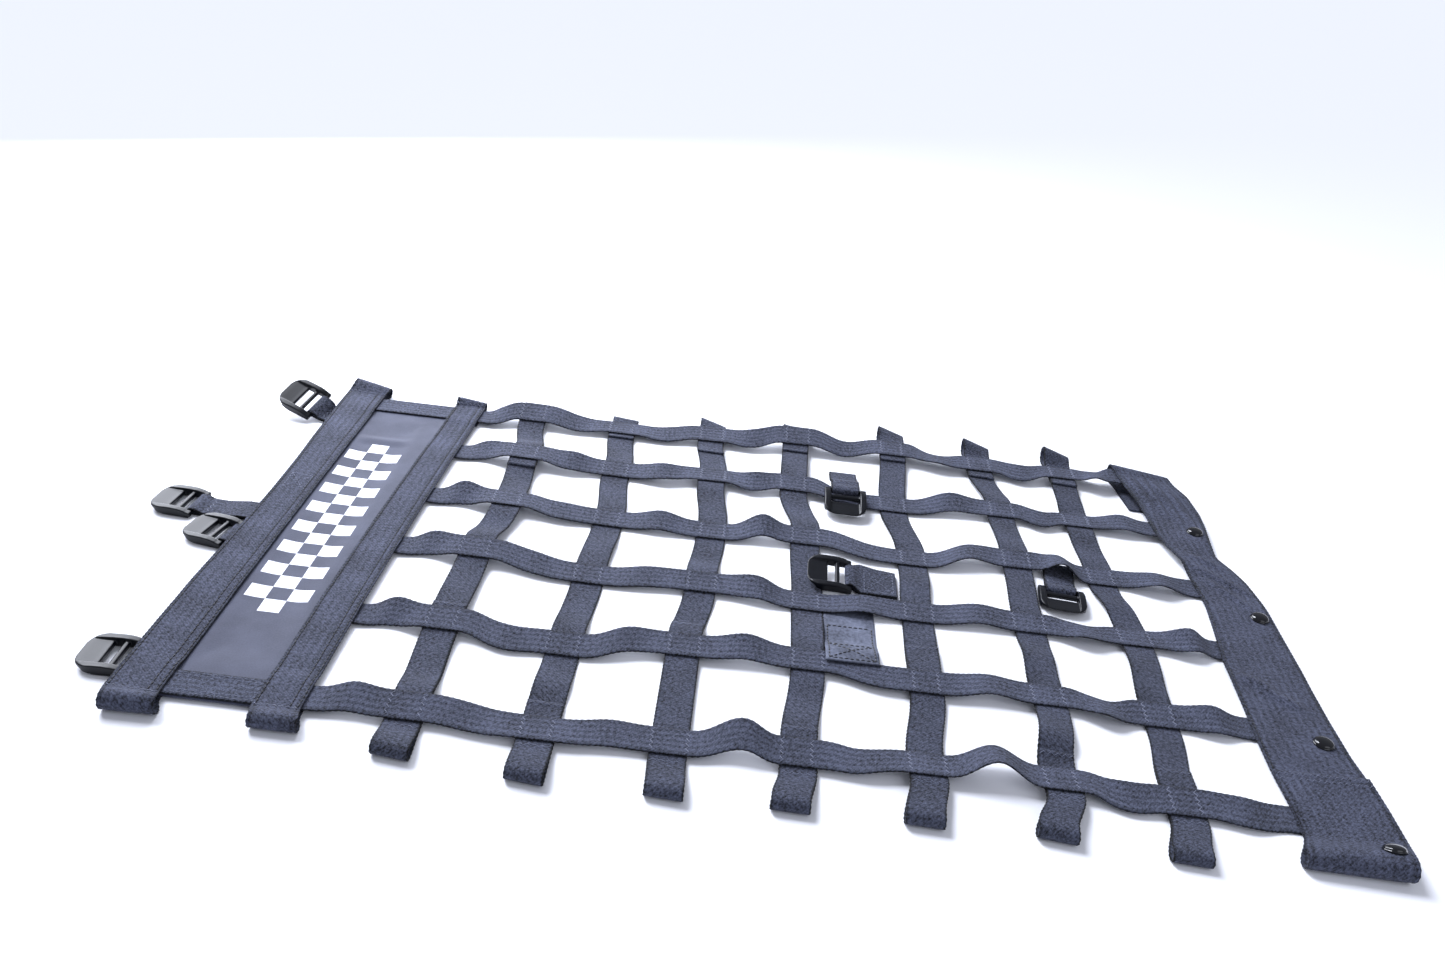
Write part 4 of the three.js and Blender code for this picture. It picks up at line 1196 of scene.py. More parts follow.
@dataclass
class CrosswiseStrap:
    """A strap across the net, folded back on itself at both ends round a rod loop."""

    column: int

    def span(self, row: int) -> list[np.ndarray]:
        """Lay the lower layer between a lengthwise strap and the next one farther back.

        Args:
            row: which lengthwise strap the nearer one is.

        Returns:
            Lines across the layer, near ones first.
        """
        here, after = CROSSINGS[row][self.column], CROSSINGS[row - 1][self.column]
        shape = CROSSWISE_SPANS[self.column][row - 1]
        start, end = here.y + HALF_SEAT, after.y - HALF_SEAT
        at = start + (1 - shape.at) * (end - start)
        first = (start, here.main(here.x, start), here.slope_y)
        last = (end, after.main(after.x, end), after.slope_y)
        lines = []
        for share in SHARES:
            y = start + share * (end - start)
            x = here.x + (after.x - here.x) * smooth(share)
            lean = math.radians(shape.lean) * math.sin(math.pi * share)
            floor = LOWEST + abs(math.sin(lean)) * HALF_WEBBING
            high = max(humped(y, first, (at, floor + shape.rise, 0.0), last), floor)
            slope = here.slope_x + (after.slope_x - here.slope_x) * share - math.tan(lean)
            lines.append(across_x(
                x, y, lambda ax, ay, h=high, s=slope, c=x: max(h + s * (ax - c), LOWEST)))
        return lines

    def main(self) -> list[np.ndarray]:
        """Lay the lower layer.

        Returns:
            Lines across it, from the near seat to the far one.
        """
        lines = []
        for row in range(len(LENGTHWISE) - 1, -1, -1):
            here = CROSSINGS[row][self.column]
            lines += [across_x(here.x, here.y + HALF_SEAT * share, here.main) for share in (-1, 0, 1)]
            if row > 0:
                lines += self.span(row)
        return lines

    def ribbon(self) -> Ribbon:
        """Lay the whole strap.

        Returns:
            The strap, from its near folded end to its far one.
        """
        strap = CROSSWISE[self.column]
        raised = np.array([0, 0, WEBBING_THICKNESS + PLY_GAP])
        main = self.main()
        near = [line + raised for line in main if line[0][1] < strap.near_lap]
        far = [line + raised for line in main if line[0][1] > strap.far_lap]
        near_loop = rod_loop(main[0], near[0], -1, NEAR_LOOPS[self.column])
        far_loop = rod_loop(main[-1], far[-1], 1, FAR_LOOPS[self.column])
        return Ribbon(near[::-1] + near_loop[::-1] + main + far_loop + far[::-1], WEBBING_THICKNESS)

    def build(self, palette: Palette) -> None:
        """Weave, sew and show the strap.

        Args:
            palette: the finishes.
        """
        ribbon = self.ribbon()
        threads = Stitching()
        near = LENGTHWISE[-1].y[self.column] - HALF_SEAT
        far = LENGTHWISE[0].y[self.column] + HALF_SEAT
        bars = (CUT_END_BAR, ribbon.length - CUT_END_BAR, ribbon.where(near - 2), ribbon.where(far + 1))
        for along in bars:
            threads.zigzag(ribbon, along)
        Strap(f"crosswise_{self.column + 1}", ribbon, ribs=0.08).dress(
            palette.webbing, {"thread": (threads, palette.thread)})


def end_edges(y: float) -> EndRow:
    """Find the end band's edges between two rows of its table.

    Args:
        y: the place along the band.

    Returns:
        The line across it there.
    """
    after = next((i for i, row in enumerate(END_BAND) if row.y <= y), len(END_BAND) - 1)
    low, high = END_BAND[max(after, 1)], END_BAND[max(after, 1) - 1]
    share = (y - low.y) / (high.y - low.y)
    return EndRow(*(a + (b - a) * share for a, b in zip(low, high)))


def end_height(x: float, y: float) -> float:
    """Height of the end band's middle."""
    row = end_edges(y)
    return row.left_high + (row.right_high - row.left_high) * (x - row.left) / (row.right - row.left)


class Side(Enum):
    """The two edges of a band beside the panel."""

    LEFT = "left"
    RIGHT = "right"


@dataclass(frozen=True)
class SideBand:
    """One of the two bands beside the panel, folded under at both ends.

    Its edges are given at the near end and at the far one. The lift raises its left edge, the bow
    carries that edge to the right, and the returns are how far the folded ends run back below it.
    """

    node: str
    left: Pair
    right: Pair
    lift: float
    bow: float
    returns: Pair
    near: Loop
    far: Loop
    stations: int = 180
    climb: float = 12.0
    calm: float = 30.0

    def edge(self, y: float, side: Side) -> float:
        """Find where an edge lies in plan.

        Args:
            y: the place along the band.
            side: which edge it is.

        Returns:
            The edge's place in X.
        """
        low, high = BORDER_NEAR - HALF_SEAT, BORDER_FAR + HALF_SEAT
        share = min((y - low) / (high - low), 1)
        near, far = self.left if side is Side.LEFT else self.right
        bow = self.bow * math.sin(math.pi * share) ** 2 * share if side is Side.LEFT else 0
        return near + (far - near) * share * share + bow

    def line(self, y: float, z: float, lift: float = 0.0) -> np.ndarray:
        """A line across the band."""
        return between((self.edge(y, Side.LEFT), y, z + lift), (self.edge(y, Side.RIGHT), y, z))

    def ribbon(self) -> Ribbon:
        """Lay the whole band, which rises over the borders and ripples a little between them.

        Returns:
            The band, from its near folded end to its far one.
        """
        rest = PANEL_RAISED + PANEL_THICKNESS + CLEARANCE + BAND_THICKNESS / 2
        over = rest + WEBBING_THICKNESS + CLEARANCE
        near_seat, far_seat = BORDER_NEAR - HALF_SEAT, BORDER_FAR + HALF_SEAT
        near_in, far_in = BORDER_NEAR + HALF_SEAT, BORDER_FAR - HALF_SEAT

        def inside(y: float, reach: float) -> float:
            """How far in from the borders a place is, from 0 to 1."""
            return min(smooth((y - near_in) / reach), smooth((far_in - y) / reach))

        main = []
        for y in np.linspace(near_seat, far_seat, self.stations):
            z = over + (rest - over) * inside(y, self.climb)
            ripple = 0.35 * math.sin(y / 31 + len(self.node)) + 0.25 * math.sin(y / 13)
            rise = np.array([[0, 0, max(ripple, 0) * inside(y, self.calm)]])
            main.append(self.line(y, z, max(rest + self.lift - z, 0)) + rise)
        flat = BAND_THICKNESS / 2
        near_under, far_under = self.line(near_seat, flat), self.line(far_seat, flat)
        lines = [self.line(near_seat + self.returns[0], flat), near_under]
        lines += rod_loop(near_under, main[0], -1, self.near, flat) + main
        lines += rod_loop(far_under, main[-1], 1, self.far, flat)[::-1]
        lines += [far_under, self.line(far_seat - self.returns[1], flat)]
        return Ribbon(lines, BAND_THICKNESS, lanes=35)

    def build(self, palette: Palette, boxed: float | None) -> None:
        """Weave, sew and show the band.

        Args:
            palette: the finishes.
            boxed: where a tie is box stitched under the band, if one is.
        """
        ribbon = self.ribbon()
        near_seat, far_seat = BORDER_NEAR - HALF_SEAT, BORDER_FAR + HALF_SEAT
        low, high = sorted((ribbon.where(near_seat + 2), ribbon.where(far_seat - 2)))
        threads, edging = Stitching(), Stitching(radius=0.34)
        rows = (-0.86, 0.56, 0.88)
        for across in rows:
            edging.dashes(ribbon, (low, across), (high, across), dash=3.4, gap=1.1)
        for y in (near_seat, far_seat):
            threads.zigzag(ribbon, ribbon.where(y), reach=0.92)
        if boxed is not None:
            middle = ribbon.where(boxed)
            threads.box(ribbon, (middle - 12, middle + 12), (-0.6, 0.5))
        width = float(ribbon.widths.mean())
        Strap(self.node, ribbon, width=width, ribs=0.1, rib_count=6, seams=rows, rests_on=("panel",)).dress(
            palette.band, {"thread": (threads, palette.thread), "edging": (edging, palette.dark_thread)})


SIDE_BANDS = (
    SideBand(
        "band_inner", left=(-98, -82), right=(-66, -53), lift=0, bow=0, returns=(30, 30),
        near=Loop(20, 20, 11.5, 11.5, 4), far=Loop(12, 9, 12, 9, 0)),
    SideBand(
        "band_outer", left=(-195, -189), right=(-159, -153), lift=3.4, bow=9, returns=(16, 16),
        near=Loop(20, 19, 14, 14, 5), far=Loop(24, 16, 14, 9, 3)),
)


class Seat(NamedTuple):
    """Where a lengthwise strap lies flat: its ends in X, its place in Y, its height and its slope."""

    start: float
    end: float
    y: float
    height: Height
    slope: float

    def tilt(self, x: float) -> float:
        """How steeply the strap leans sideways at one of the seat's ends."""
        return (self.height(x, self.y + 1) - self.height(x, self.y - 1)) / 2


@dataclass
class LengthwiseStrap:
    """A strap along the net, sewn on top of the crosswise ones."""

    row: int

    @property
    def border(self) -> bool:
        """Whether the strap runs on over the panel, as its border."""
        return self.row in (0, len(LENGTHWISE) - 1)

    def seats(self) -> list[Seat]:
        """Find where the strap lies flat.

        Returns:
            Its seats: on or under the panel, at each crossing, and under the end band.
        """
        crossings = CROSSINGS[self.row]
        under = PANEL_RAISED + PANEL_THICKNESS
        if self.border:
            y, start = BORDER_FAR if self.row == 0 else BORDER_NEAR, PANEL_EDGES[0] + 1
            level = under + CLEARANCE + LOWEST
        else:
            y, start = crossings[0].y, PANEL_EDGES[1] + 3
            level = under - LOWEST
        to = SIDE_BANDS[0].edge(y + HALF_SEAT, Side.RIGHT) + 2
        first = Seat(start, to, y, lambda ax, ay: level, 0.0)
        middle = [Seat(c.x - HALF_SEAT, c.x + HALF_SEAT, c.y, c.over, c.slope_x) for c in crossings]
        left = end_edges(crossings[-1].y).left
        drop = BAND_THICKNESS / 2 + WEBBING_THICKNESS / 2 + END_LAP_GAP
        last = Seat(
            left - 3, left + 24, crossings[-1].y,
            lambda ax, ay: max(end_height(ax, ay) - drop, LOWEST), 0.0)
        return [first, *middle, last]

    def span(self, here: Seat, after: Seat, shape: Span) -> list[np.ndarray]:
        """Lay the strap between two seats.

        Args:
            here: the seat at the left.
            after: the seat at the right.
            shape: how the strap runs between them.

        Returns:
            Lines across it, left ones first.
        """
        at = here.end + shape.at * (after.start - here.end)
        tilt, tilt_after = here.tilt(here.end), after.tilt(after.start)
        first = (here.end, here.height(here.end, here.y), here.slope)
        last = (after.start, after.height(after.start, after.y), after.slope)
        lines = []
        for share in SHARES:
            x = here.end + share * (after.start - here.end)
            ease, swell = smooth(share), math.sin(math.pi * share) ** 2
            place = here.y + (after.y - here.y) * ease + shape.stray * swell
            side = tilt * (1 - ease) + tilt_after * ease + math.tan(math.radians(shape.lean)) * swell
            floor = LOWEST + CLEARANCE + abs(side) * HALF_WEBBING
            level = max(humped(x, first, (at, floor + shape.rise, 0.0), last), floor)
            lines.append(across_y(x, place, lambda ax, ay, h=level, s=side, c=place: h + s * (ay - c)))
        return lines

    def ribbon(self) -> Ribbon:
        """Lay the whole strap.

        Returns:
            The strap, from the panel to the end band.
        """
        seats = self.seats()
        lines = []
        for index, seat in enumerate(seats):
            places = [seat.start + (seat.end - seat.start) * share for share in (0, 0.25, 0.5, 0.75, 1)]
            lines += [across_y(x, seat.y, seat.height) for x in places]
            if index < len(seats) - 1:
                lines += self.span(seat, seats[index + 1], LENGTHWISE_SPANS[self.row][index])
        return Ribbon(lines, WEBBING_THICKNESS)

    def build(self, palette: Palette) -> None:
        """Weave, sew and show the strap.

        Args:
            palette: the finishes.
        """
        ribbon = self.ribbon()
        threads = Stitching()
        for crossing in CROSSINGS[self.row]:
            for side in (-1, 1):
                bar = crossing.x + side * (HALF_WEBBING - 2.2)
                threads.zigzag(ribbon, ribbon.where(bar, axis=0), reach=0.86)
        if self.border:
            low = ribbon.where(SIDE_BANDS[1].edge(BORDER_NEAR, Side.RIGHT) + 3, axis=0)
            high = ribbon.where(BORDER_SEAM_END, axis=0)
            for across in (-0.82, -0.6, 0.6, 0.82):
                threads.dashes(ribbon, (low, across), (high, across))
        below = tuple(f"crosswise_{n + 1}" for n in range(len(CROSSWISE)))
        Strap(f"lengthwise_{self.row + 1}", ribbon, ribs=0.22, rib_count=5.0, rests_on=below).dress(
            palette.ribbed, {"thread": (threads, palette.thread)})


class Crease(NamedTuple):
    """A soft ridge in cloth: its two ends in plan, its height and its half width."""

    start: Pair
    end: Pair
    height: float
    half: float


@dataclass
class EndBand:
    """The wide band at the end, folded over at its near end and under at its far one."""

    creases: tuple[Crease, ...] = (
        Crease((604, 316), (640, 300), 2.6, 4),
        Crease((606, 300), (650, 262), 3.0, 4),
        Crease((612, 283), (645, 238), 2.4, 3.5),
        Crease((598, 141), (624, 127), 3.2, 5),
        Crease((608, 130), (642, 108), 3.0, 5),
        Crease((597, 388), (584, 450), 3.0, 3.0),
        Crease((607, 378), (595, 452), 3.6, 3.0),
        Crease((618, 370), (606, 452), 3.6, 3.0),
        Crease((629, 366), (617, 446), 3.0, 3.0),
    )
    drift: float = 6.0

    def ridge(self, spots: np.ndarray) -> np.ndarray:
        """Add up how high the creases stand.

        Args:
            spots: a grid of points.

        Returns:
            The height at each of them, in millimetres.
        """
        high = np.zeros(spots.shape[:2])
        for crease in self.creases:
            start, run = np.array(crease.start), np.array(crease.end) - np.array(crease.start)
            share = (spots[:, :, :2] - start) @ run / (run @ run)
            nearest = start + np.clip(share, 0, 1)[:, :, None] * run
            apart = np.linalg.norm(spots[:, :, :2] - nearest, axis=2)
            taper = np.clip(np.sin(math.pi * np.clip(share, 0, 1)), 0, 1) ** 0.7
            high += crease.height * taper * np.exp(-(apart / crease.half) ** 2)
        return high

    def ribbon(self) -> Ribbon:
        """Lay the whole band, with its creases on the upper layer.

        Returns:
            The band, from the end of its near lap to its far end.
        """
        near_first = END_BAND[::-1]
        main = [between((r.left, r.y, r.left_high), (r.right, r.y, r.right_high)) for r in near_first]
        raised = np.array([0, 0, BAND_THICKNESS + END_LAP_GAP])
        lap = [line + raised for line, row in zip(main, near_first) if row.y <= END_LAP]
        flat = BAND_THICKNESS / 2
        far = END_BAND[0]
        back = far.y - END_RETURN
        far_under = between((far.left, far.y, flat), (far.right, far.y, flat))
        far_end = between((far.left + self.drift, back, flat), (far.right + self.drift, back, flat))
        lines = lap[::-1] + rod_loop(main[0], lap[0], -1, END_LOOP_NEAR, flat)[::-1] + main
        lines += rod_loop(far_under, main[-1], 1, END_LOOP_FAR, flat)[::-1] + [far_under, far_end]
        ribbon = Ribbon(lines, BAND_THICKNESS, lanes=41, passes=4)
        upper = ribbon.points[:, :, 2] > BAND_THICKNESS
        ribbon.points[:, :, 2] += self.ridge(ribbon.points) * upper
        ribbon.face()
        return ribbon

    def build(self, palette: Palette) -> Ribbon:
        """Weave, sew and show the band.

        Args:
            palette: the finishes.

        Returns:
            The band, for what is pressed through it.
        """
        ribbon = self.ribbon()
        start = ribbon.where(END_LAP + 2, top=False)
        end = ribbon.where(END_BAND[0].y - 2)
        threads, edging = Stitching(), Stitching(radius=0.3)
        rows = (-0.92, 0.92)
        for across in rows:
            edging.dashes(ribbon, (start, across), (end, across))
        for along in (3.0, 8.0):
            threads.zigzag(ribbon, along, reach=0.95)
        width = float(ribbon.widths.mean())
        strap = Strap(
            "band_end", ribbon, width=width, ribs=0.1, rib_count=9, seams=rows, rests_on=("lengthwise_3",))
        strap.dress(
            palette.band, {"thread": (threads, palette.thread), "edging": (edging, palette.dark_thread)})
        return ribbon


@dataclass
class SnapCap:
    """A domed cap pressed through the end band."""

    number: int
    place: Pair
    radius: float = 7.5
    height: float = 4.2
    around: int = 56
    dome_steps: int = 10

    def seat(self, band: Ribbon) -> tuple[np.ndarray, np.ndarray]:
        """Find where the cap sits squarely on the cloth.

        Args:
            band: the end band.

        Returns:
            The middle of the cap's foot and the way that the cap faces.
        """
        facing = facing_up(band.normals).reshape(-1, 3)
        flat = band.points.reshape(-1, 3) + facing * (band.thickness / 2)
        apart = np.hypot(flat[:, 0] - self.place[0], flat[:, 1] - self.place[1])
        open_up = facing[:, 2] > 0.3
        close = np.nonzero((apart < 3) & open_up)[0]
        top = close[np.argmax(flat[close, 2])]
        near = np.nonzero((apart < self.radius) & (np.abs(flat[:, 2] - flat[top, 2]) < 4) & open_up)[0]
        normal = facing[near].mean(axis=0)
        normal /= np.linalg.norm(normal)
        lift = float(((flat[near] - flat[top]) @ normal).max())
        return flat[top] + normal * (lift + 0.05), normal

    def build(self, palette: Palette, band: Ribbon) -> None:
        """Turn the dome and set it on the cloth.

        Args:
            palette: the finishes.
            band: the end band.
        """
        foot, normal = self.seat(band)
        profile = list(CAP_RIM)
        rim_radius, rim_height = CAP_RIM[-1]
        for step in range(1, self.dome_steps + 1):
            angle = math.pi / 2 * step / self.dome_steps
            profile.append((rim_radius * math.cos(angle), rim_height + (1 - rim_height) * math.sin(angle)))
        turned = np.array(Vector((0, 0, 1)).rotation_difference(Vector(normal)).to_matrix())
        angles = np.linspace(0, 2 * math.pi, self.around, endpoint=False)
        rows = []
        for radius, high in profile:
            ring = np.stack([
                radius * self.radius * np.cos(angles), radius * self.radius * np.sin(angles),
                np.full(self.around, high * self.height)], 1)
            rows.append(ring @ turned.T)
        quads = ring_quads(len(profile), self.around)[1]
        mesh = solid_mesh(f"dome_cap_{self.number}", np.concatenate(rows) + foot, quads)
        weld(mesh)
        show(mesh, palette.lacquer, [f"snap_cap_{self.number}"])


@dataclass
class Buckle:
    """A ladder-lock buckle, moulded in one piece, with its strap looped round the rear bar."""

    tie: Tie
    width: float = 38.0
    length: float = 37.0
    tip_radius: float = 12.0
    slot_width: float = 26.6
    voxel: float = 0.55
    steps: int = 15

    def placed(self, points: np.ndarray) -> np.ndarray:
        """Turn points from the buckle's frame into the net's grid.

        Args:
            points: points in the buckle's frame, whose X runs from the rear bar to the lip.

        Returns:
            The same points in the grid.
        """
        spin = (
            Matrix.Rotation(math.radians(self.tie.turn), 3, "Z")
            @ Matrix.Rotation(math.radians(-self.tie.pitch), 3, "Y")
            @ Matrix.Rotation(math.radians(self.tie.roll), 3, "X"))
        return points @ np.array(spin).T + np.array(self.tie.place)

    def profile(
        self, outline: Sequence[Pair], start: float, end: float, rounded: bool = False,
    ) -> tuple[np.ndarray, list[list[int]]]:
        """Run a profile of distances and heights across the buckle between two places.

        Args:
            outline: the profile's corners.
            start: the place across where it starts.
            end: where it ends.
            rounded: whether the tip is drawn in towards both ends, as the lip's is.

        Returns:
            Its points and its faces.
        """
        rows = []
        for across in np.linspace(start, end, self.steps):
            near = min(max(abs(across) - (self.width / 2 - self.tip_radius), 0) / self.tip_radius, 1)
            drawn_in = self.tip_radius * (1 - math.sqrt(1 - near ** 2)) if rounded else 0.0
            limit = self.length - drawn_in
            rows.append([(min(along, limit), across, high) for along, high in outline])
        index, sides = ring_quads(self.steps, len(outline))
        faces = sides.tolist() + [index[0][::-1].tolist(), index[-1].tolist()]
        return np.array(rows, float).reshape(-1, 3), faces

    def body(self) -> Mesh:
        """Melt the profiles together and soften the moulding's edges.

        Returns:
            The moulding's mesh, in the buckle's frame and in millimetres.
        """
        half, inner = self.width / 2, self.slot_width / 2
        bar_end = inner + 1
        pieces = [
            self.profile(RAIL, inner, half, True), self.profile(RAIL, -half, -inner, True),
            self.profile(REAR_BAR, -bar_end, bar_end), self.profile(MIDDLE_BAR, -bar_end, bar_end),
            self.profile(LIP, -bar_end, bar_end, True)]
        points, faces, count = [], [], 0
        for spots, sides in pieces:
            points.append(spots)
            faces += [[corner + count for corner in side] for side in sides]
            count += len(spots)
        rough = bpy.data.meshes.new("rough")
        rough.from_pydata(np.concatenate(points).tolist(), [], faces)
        holder = bpy.data.objects.new("rough", rough)
        bpy.context.scene.collection.objects.link(holder)
        weld(rough)
        melt = holder.modifiers.new("melt", "REMESH")
        melt.mode, melt.voxel_size = "VOXEL", self.voxel
        soften = holder.modifiers.new("soften", "SMOOTH")
        soften.iterations, soften.factor = 7, 0.5
        thin = holder.modifiers.new("thin", "DECIMATE")
        thin.ratio = 0.6
        done = bpy.data.meshes.new_from_object(holder.evaluated_get(bpy.context.evaluated_depsgraph_get()))
        bpy.data.objects.remove(holder)
        bpy.data.meshes.remove(rough)
        return done

    def strap(self) -> Ribbon:
        """Lay the doubled strap: back under the rear bar, round it and over.

        Returns:
            The strap.
        """
        raised = WEBBING_THICKNESS + PLY_GAP
        wide = self.tie.width / 2

        def line(along: float, high: float, half: float = HALF_WEBBING, roll: float = 0.0) -> np.ndarray:
            """A line across the strap."""
            slope = math.tan(math.radians(roll))
            return np.array([[along, side * half, high + side * half * slope] for side in (1, -1)])

        tail = (Stop(7, 0, 0),) + self.tie.tail
        under = [line(-stop.back, LOWEST - stop.drop, wide, stop.roll) for stop in tail]
        over = [line(-stop.back, LOWEST + raised - stop.drop, wide, stop.roll) for stop in tail]
        bend, bend_steps, bend_radius = [], 14, 2.3
        for step in range(bend_steps + 1):
            angle = math.pi * (step / bend_steps - 0.5)
            bend.append(line(2.8 + bend_radius * math.cos(angle), 3 + bend_radius * math.sin(angle)))
        lines = under[::-1] + [line(-1, LOWEST)] + bend + [line(-1, 5.3)] + over
        return Ribbon([self.placed(one) for one in lines[::-1]], WEBBING_THICKNESS, step=1.2, passes=1)

    def build(self, palette: Palette, moulding: Mesh) -> None:
        """Place a copy of the moulding and show it with its strap.

        Args:
            palette: the finishes.
            moulding: the buckle's mesh, in its own frame.
        """
        mesh = moulding.copy()
        mesh.name = f"moulding_{self.tie.name}"
        spots = np.empty(len(mesh.vertices) * 3, np.float32)
        mesh.vertices.foreach_get("co", spots)
        placed = (self.placed(spots.reshape(-1, 3).astype(float)) + NET_ORIGIN) * MM
        mesh.vertices.foreach_set("co", placed.astype(np.float32).ravel())
        mesh.update()
        for polygon in mesh.polygons:
            polygon.use_smooth = True
        buckle = f"buckle_{self.tie.name}"
        show(mesh, palette.acetal, [buckle])
        ribbon = self.strap()
        threads = Stitching()
        if self.tie.width > WEBBING_WIDTH:
            threads.box(ribbon, (3, 27), (-0.8, 0.8))
        else:
            threads.zigzag(ribbon, max(ribbon.length / 2 - 17, 3.0), reach=0.84)
        Strap(f"tie_{self.tie.name}", ribbon, width=self.tie.width, rests_on=(buckle,)).dress(
            palette.webbing, {"thread": (threads, palette.thread)})


@dataclass
class Panel:
    """The coated cloth panel, sagging to the floor between its bands, with a fold across it."""

    fold_y: float = 362.0
    fold_height: float = 2.2
    fold_half: float = 9.0
    columns: int = 41
    rows: int = 190

    def height(self, x: float, y: float) -> float:
        """Find how high the cloth's middle lies.

        Args:
            x: the place across the panel.
            y: the place along it.

        Returns:
            The height there.
        """
        sag_x = min(smooth((x + 158) / 18), smooth((-x - 100) / 16))
        sag_y = min(smooth((y - 12) / 32), smooth((406 - y) / 30))
        fold = self.fold_height * max(1 - abs(y - self.fold_y) / self.fold_half, 0)
        sunk = min(sag_x, sag_y)
        wave = 0.5 * max(math.sin(x / 21 + y / 46) * math.sin(y / 57), 0)
        return PANEL_RAISED * (1 - sunk) + (fold + wave) * sunk + PANEL_THICKNESS / 2

    def build(self, palette: Palette) -> None:
        """Lay and show the panel.

        Args:
            palette: the finishes.
        """
        left, right, near, far = PANEL_EDGES
        lines = [between((left, y, 0), (right, y, 0)) for y in np.linspace(near, far, self.rows)]
        step = (far - near) / self.rows
        ribbon = Ribbon(lines, PANEL_THICKNESS, step=step, lanes=self.columns, passes=0)
        ribbon.points[:, :, 2] = [[self.height(x, y) for x, y, _ in row] for row in ribbon.points]
        ribbon.face()
        piece = show(ribbon.mesh("cloth_panel", 0.0, 1.0, 0.0), palette.panel, ["panel"])


@dataclass
class Tab:
    """The light tab in the middle, with a long box of stitches that is crossed at its near end."""

    hem: float = 3.0
    fold: float = 26.0
    reach: float = 0.86

    def build(self, palette: Palette) -> None:
        """Lay, sew and show the tab.

        Args:
            palette: the finishes.
        """
        left, right = TAB_EDGES
        lines = [between((left, y, z), (right, y, z)) for y, z in TAB]
        ribbon = Ribbon(lines, PANEL_THICKNESS, step=1.6, passes=3, lanes=21)
        piece = show(ribbon.mesh("cloth_tab_centre", 0.0, 1.0, 0.1), palette.tab, ["tab_centre"])
        threads = Stitching(radius=0.6)
        hem, fold, reach = self.hem, self.fold, self.reach
        threads.box(ribbon, (hem, ribbon.length - fold), (-reach, reach), crossed=False)
        threads.dashes(ribbon, (hem, -reach), (fold, reach))
        threads.dashes(ribbon, (fold, -reach), (hem, reach))
        threads.dashes(ribbon, (fold, -reach), (fold, reach))
        sewn = show(threads.mesh("thread_tab_centre"), palette.dark_thread)


class Lamp(NamedTuple):
    """A soft round lamp: its place and its aim in metres, its size and its power."""

    name: str
    place: Point
    aim: Point
    size: float
    watts: float


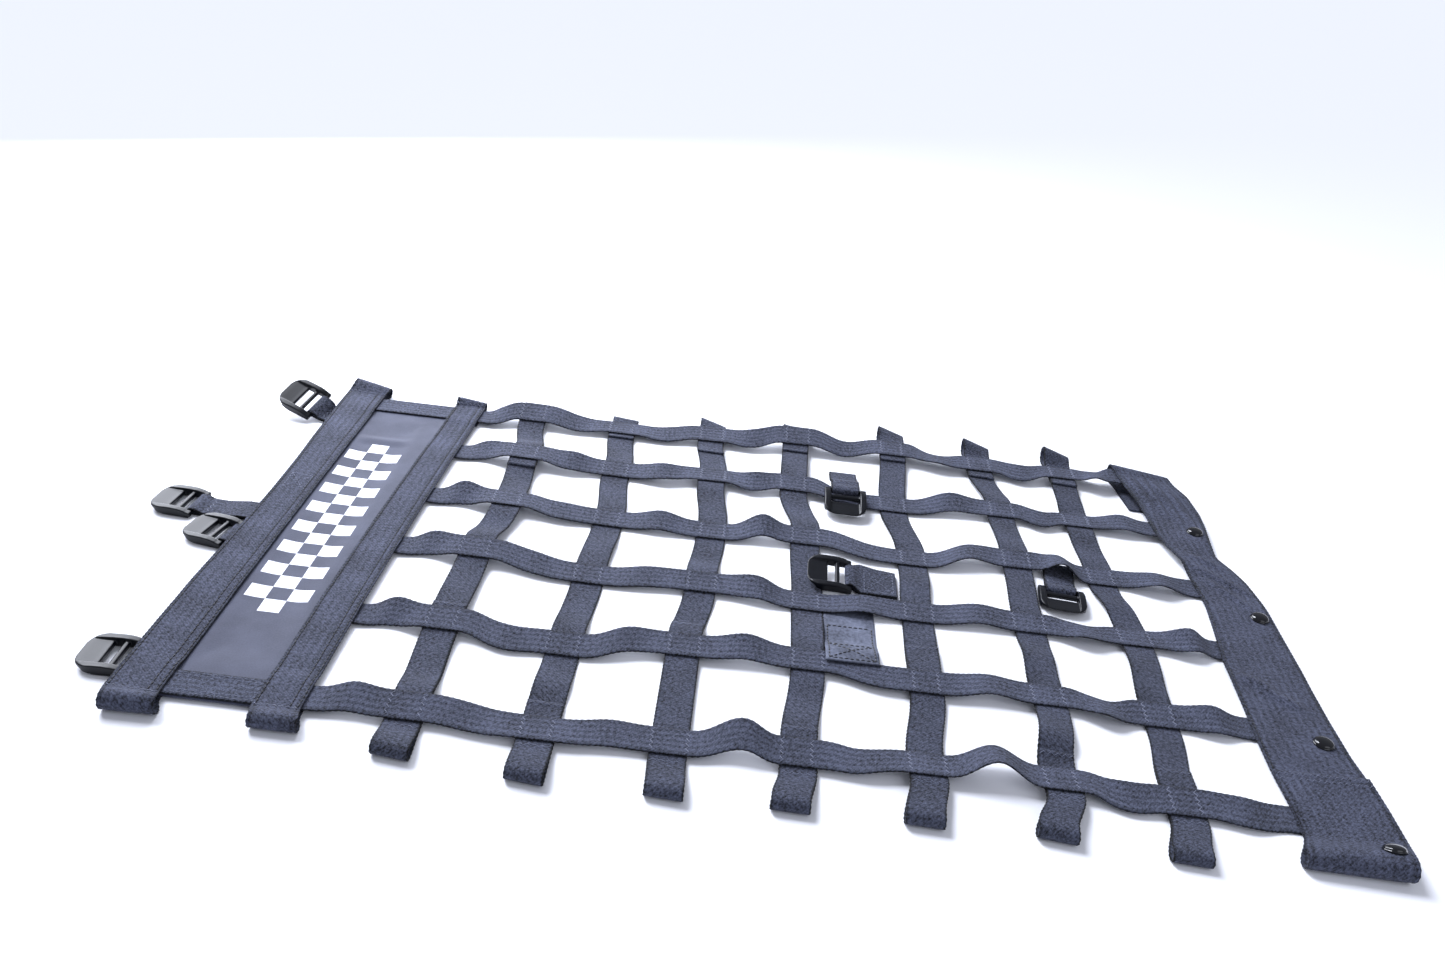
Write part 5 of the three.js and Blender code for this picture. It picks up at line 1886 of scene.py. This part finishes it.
@dataclass(frozen=True)
class Studio:
    """A pale floor, soft light from above and the camera at the photograph's angle.

    The camera's place is in the net's grid. Its three axes are unit vectors there, and the daylight
    falls along its own direction, from a source that looks as wide as its spread in degrees.
    """

    eye: Point = (193.43, -641.70, 545.57)
    right: Point = (0.99309, 0.05991, 0.10094)
    down: Point = (0.11728, -0.47074, -0.87444)
    ahead: Point = (-0.00488, 0.88024, -0.47451)
    focal_px: float = 1230.0
    width_px: float = 1445.0
    sensor_mm: float = 36.0
    floor_half: float = 40.0
    floor_drop: float = 0.0002
    floor_colour: str = "#f4f5fa"
    sky_colour: str = "#eff3ff"
    sky_strength: float = 0.4
    lamp_colour: str = "#f0f4ff"
    lamps: tuple[Lamp, ...] = (
        Lamp("key", (-0.6, 0.8, 0.55), (-0.25, 0.15, 0), 1.2, 28),
        Lamp("fill", (1.0, -1.1, 1.0), (0.3, -0.1, 0), 1.4, 7),
    )
    daylight_way: Point = (0.5, -0.45, -0.8)
    daylight_spread: float = 24.0
    daylight_strength: float = 2.9

    def camera(self) -> None:
        """Place the camera."""
        lens = bpy.data.cameras.new("camera")
        lens.sensor_fit = "HORIZONTAL"
        lens.sensor_width = self.sensor_mm
        lens.lens = self.sensor_mm * self.focal_px / self.width_px
        lens.clip_start = 0.01
        camera = bpy.data.objects.new("camera", lens)
        bpy.context.scene.collection.objects.link(camera)
        axes = Matrix((self.right, [-v for v in self.down], [-v for v in self.ahead])).transposed()
        place = Matrix.Translation(Vector((np.array(self.eye) + NET_ORIGIN) * MM))
        camera.matrix_world = place @ axes.to_4x4()
        bpy.context.scene.camera = camera

    def floor(self) -> None:
        """Lay the floor just under the net."""
        mesh = bpy.data.meshes.new("floor")
        size = self.floor_half
        corners = [(-size, -size, 0), (size, -size, 0), (size, size, 0), (-size, size, 0)]
        mesh.from_pydata(corners, [], [(0, 1, 2, 3)])
        floor = bpy.data.objects.new("floor", mesh)
        floor.location.z = -self.floor_drop
        bpy.context.scene.collection.objects.link(floor)
        material, shader = blank("floor_paper")
        # Plain paper: quite matt, so that it mirrors nothing
        plug(shader, {"Base Color": linear(self.floor_colour), "Roughness": 1.0, "Specular IOR Level": 0.0})
        mesh.materials.append(material)

    def light(self, name: str, kind: str, way: Vector, watts: float) -> bpy.types.Object:
        """Make one light in the lamps' colour.

        Args:
            name: its name.
            kind: the type of light.
            way: the direction in which it shines.
            watts: its power.

        Returns:
            The light.
        """
        light = bpy.data.lights.new(name, kind)
        light.energy = watts
        light.color = linear(self.lamp_colour)[:3]
        holder = bpy.data.objects.new(name, light)
        holder.rotation_euler = way.to_track_quat("-Z", "Y").to_euler()
        bpy.context.scene.collection.objects.link(holder)
        return holder

    def build(self) -> None:
        """Set up the whole studio."""
        self.camera()
        self.floor()
        for lamp in self.lamps:
            hung = self.light(lamp.name, "AREA", Vector(lamp.aim) - Vector(lamp.place), lamp.watts)
            hung.data.shape, hung.data.size, hung.location = "DISK", lamp.size, lamp.place
        sun = self.light("daylight", "SUN", Vector(self.daylight_way), self.daylight_strength)
        sun.data.angle = math.radians(self.daylight_spread)
        world = bpy.data.worlds.new("sky")
        world.use_nodes = True
        plug(world.node_tree.nodes["Background"], {
            "Color": linear(self.sky_colour), "Strength": self.sky_strength})
        bpy.context.scene.world = world
        bpy.context.scene.view_settings.view_transform = "Standard"


def main() -> None:
    """Build the net over its frame and set up the studio."""
    logging.basicConfig(level=logging.INFO, format="%(message)s")
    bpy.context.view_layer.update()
    Studio().build()
    palette = Palette.mixed()
    Panel().build(palette)
    for column in range(len(CROSSWISE)):
        CrosswiseStrap(column).build(palette)
    for row in range(len(LENGTHWISE)):
        LengthwiseStrap(row).build(palette)
    inner, outer = SIDE_BANDS
    inner.build(palette, None)
    outer.build(palette, TIE_BOX_Y)
    band = EndBand().build(palette)
    for number, place in enumerate(CAPS, 1):
        SnapCap(number, place).build(palette, band)
    moulding = Buckle(TIES[0]).body()
    for tie in TIES:
        Buckle(tie).build(palette, moulding)
    Tab().build(palette)
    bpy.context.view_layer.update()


if __name__ == "__main__":
    main()
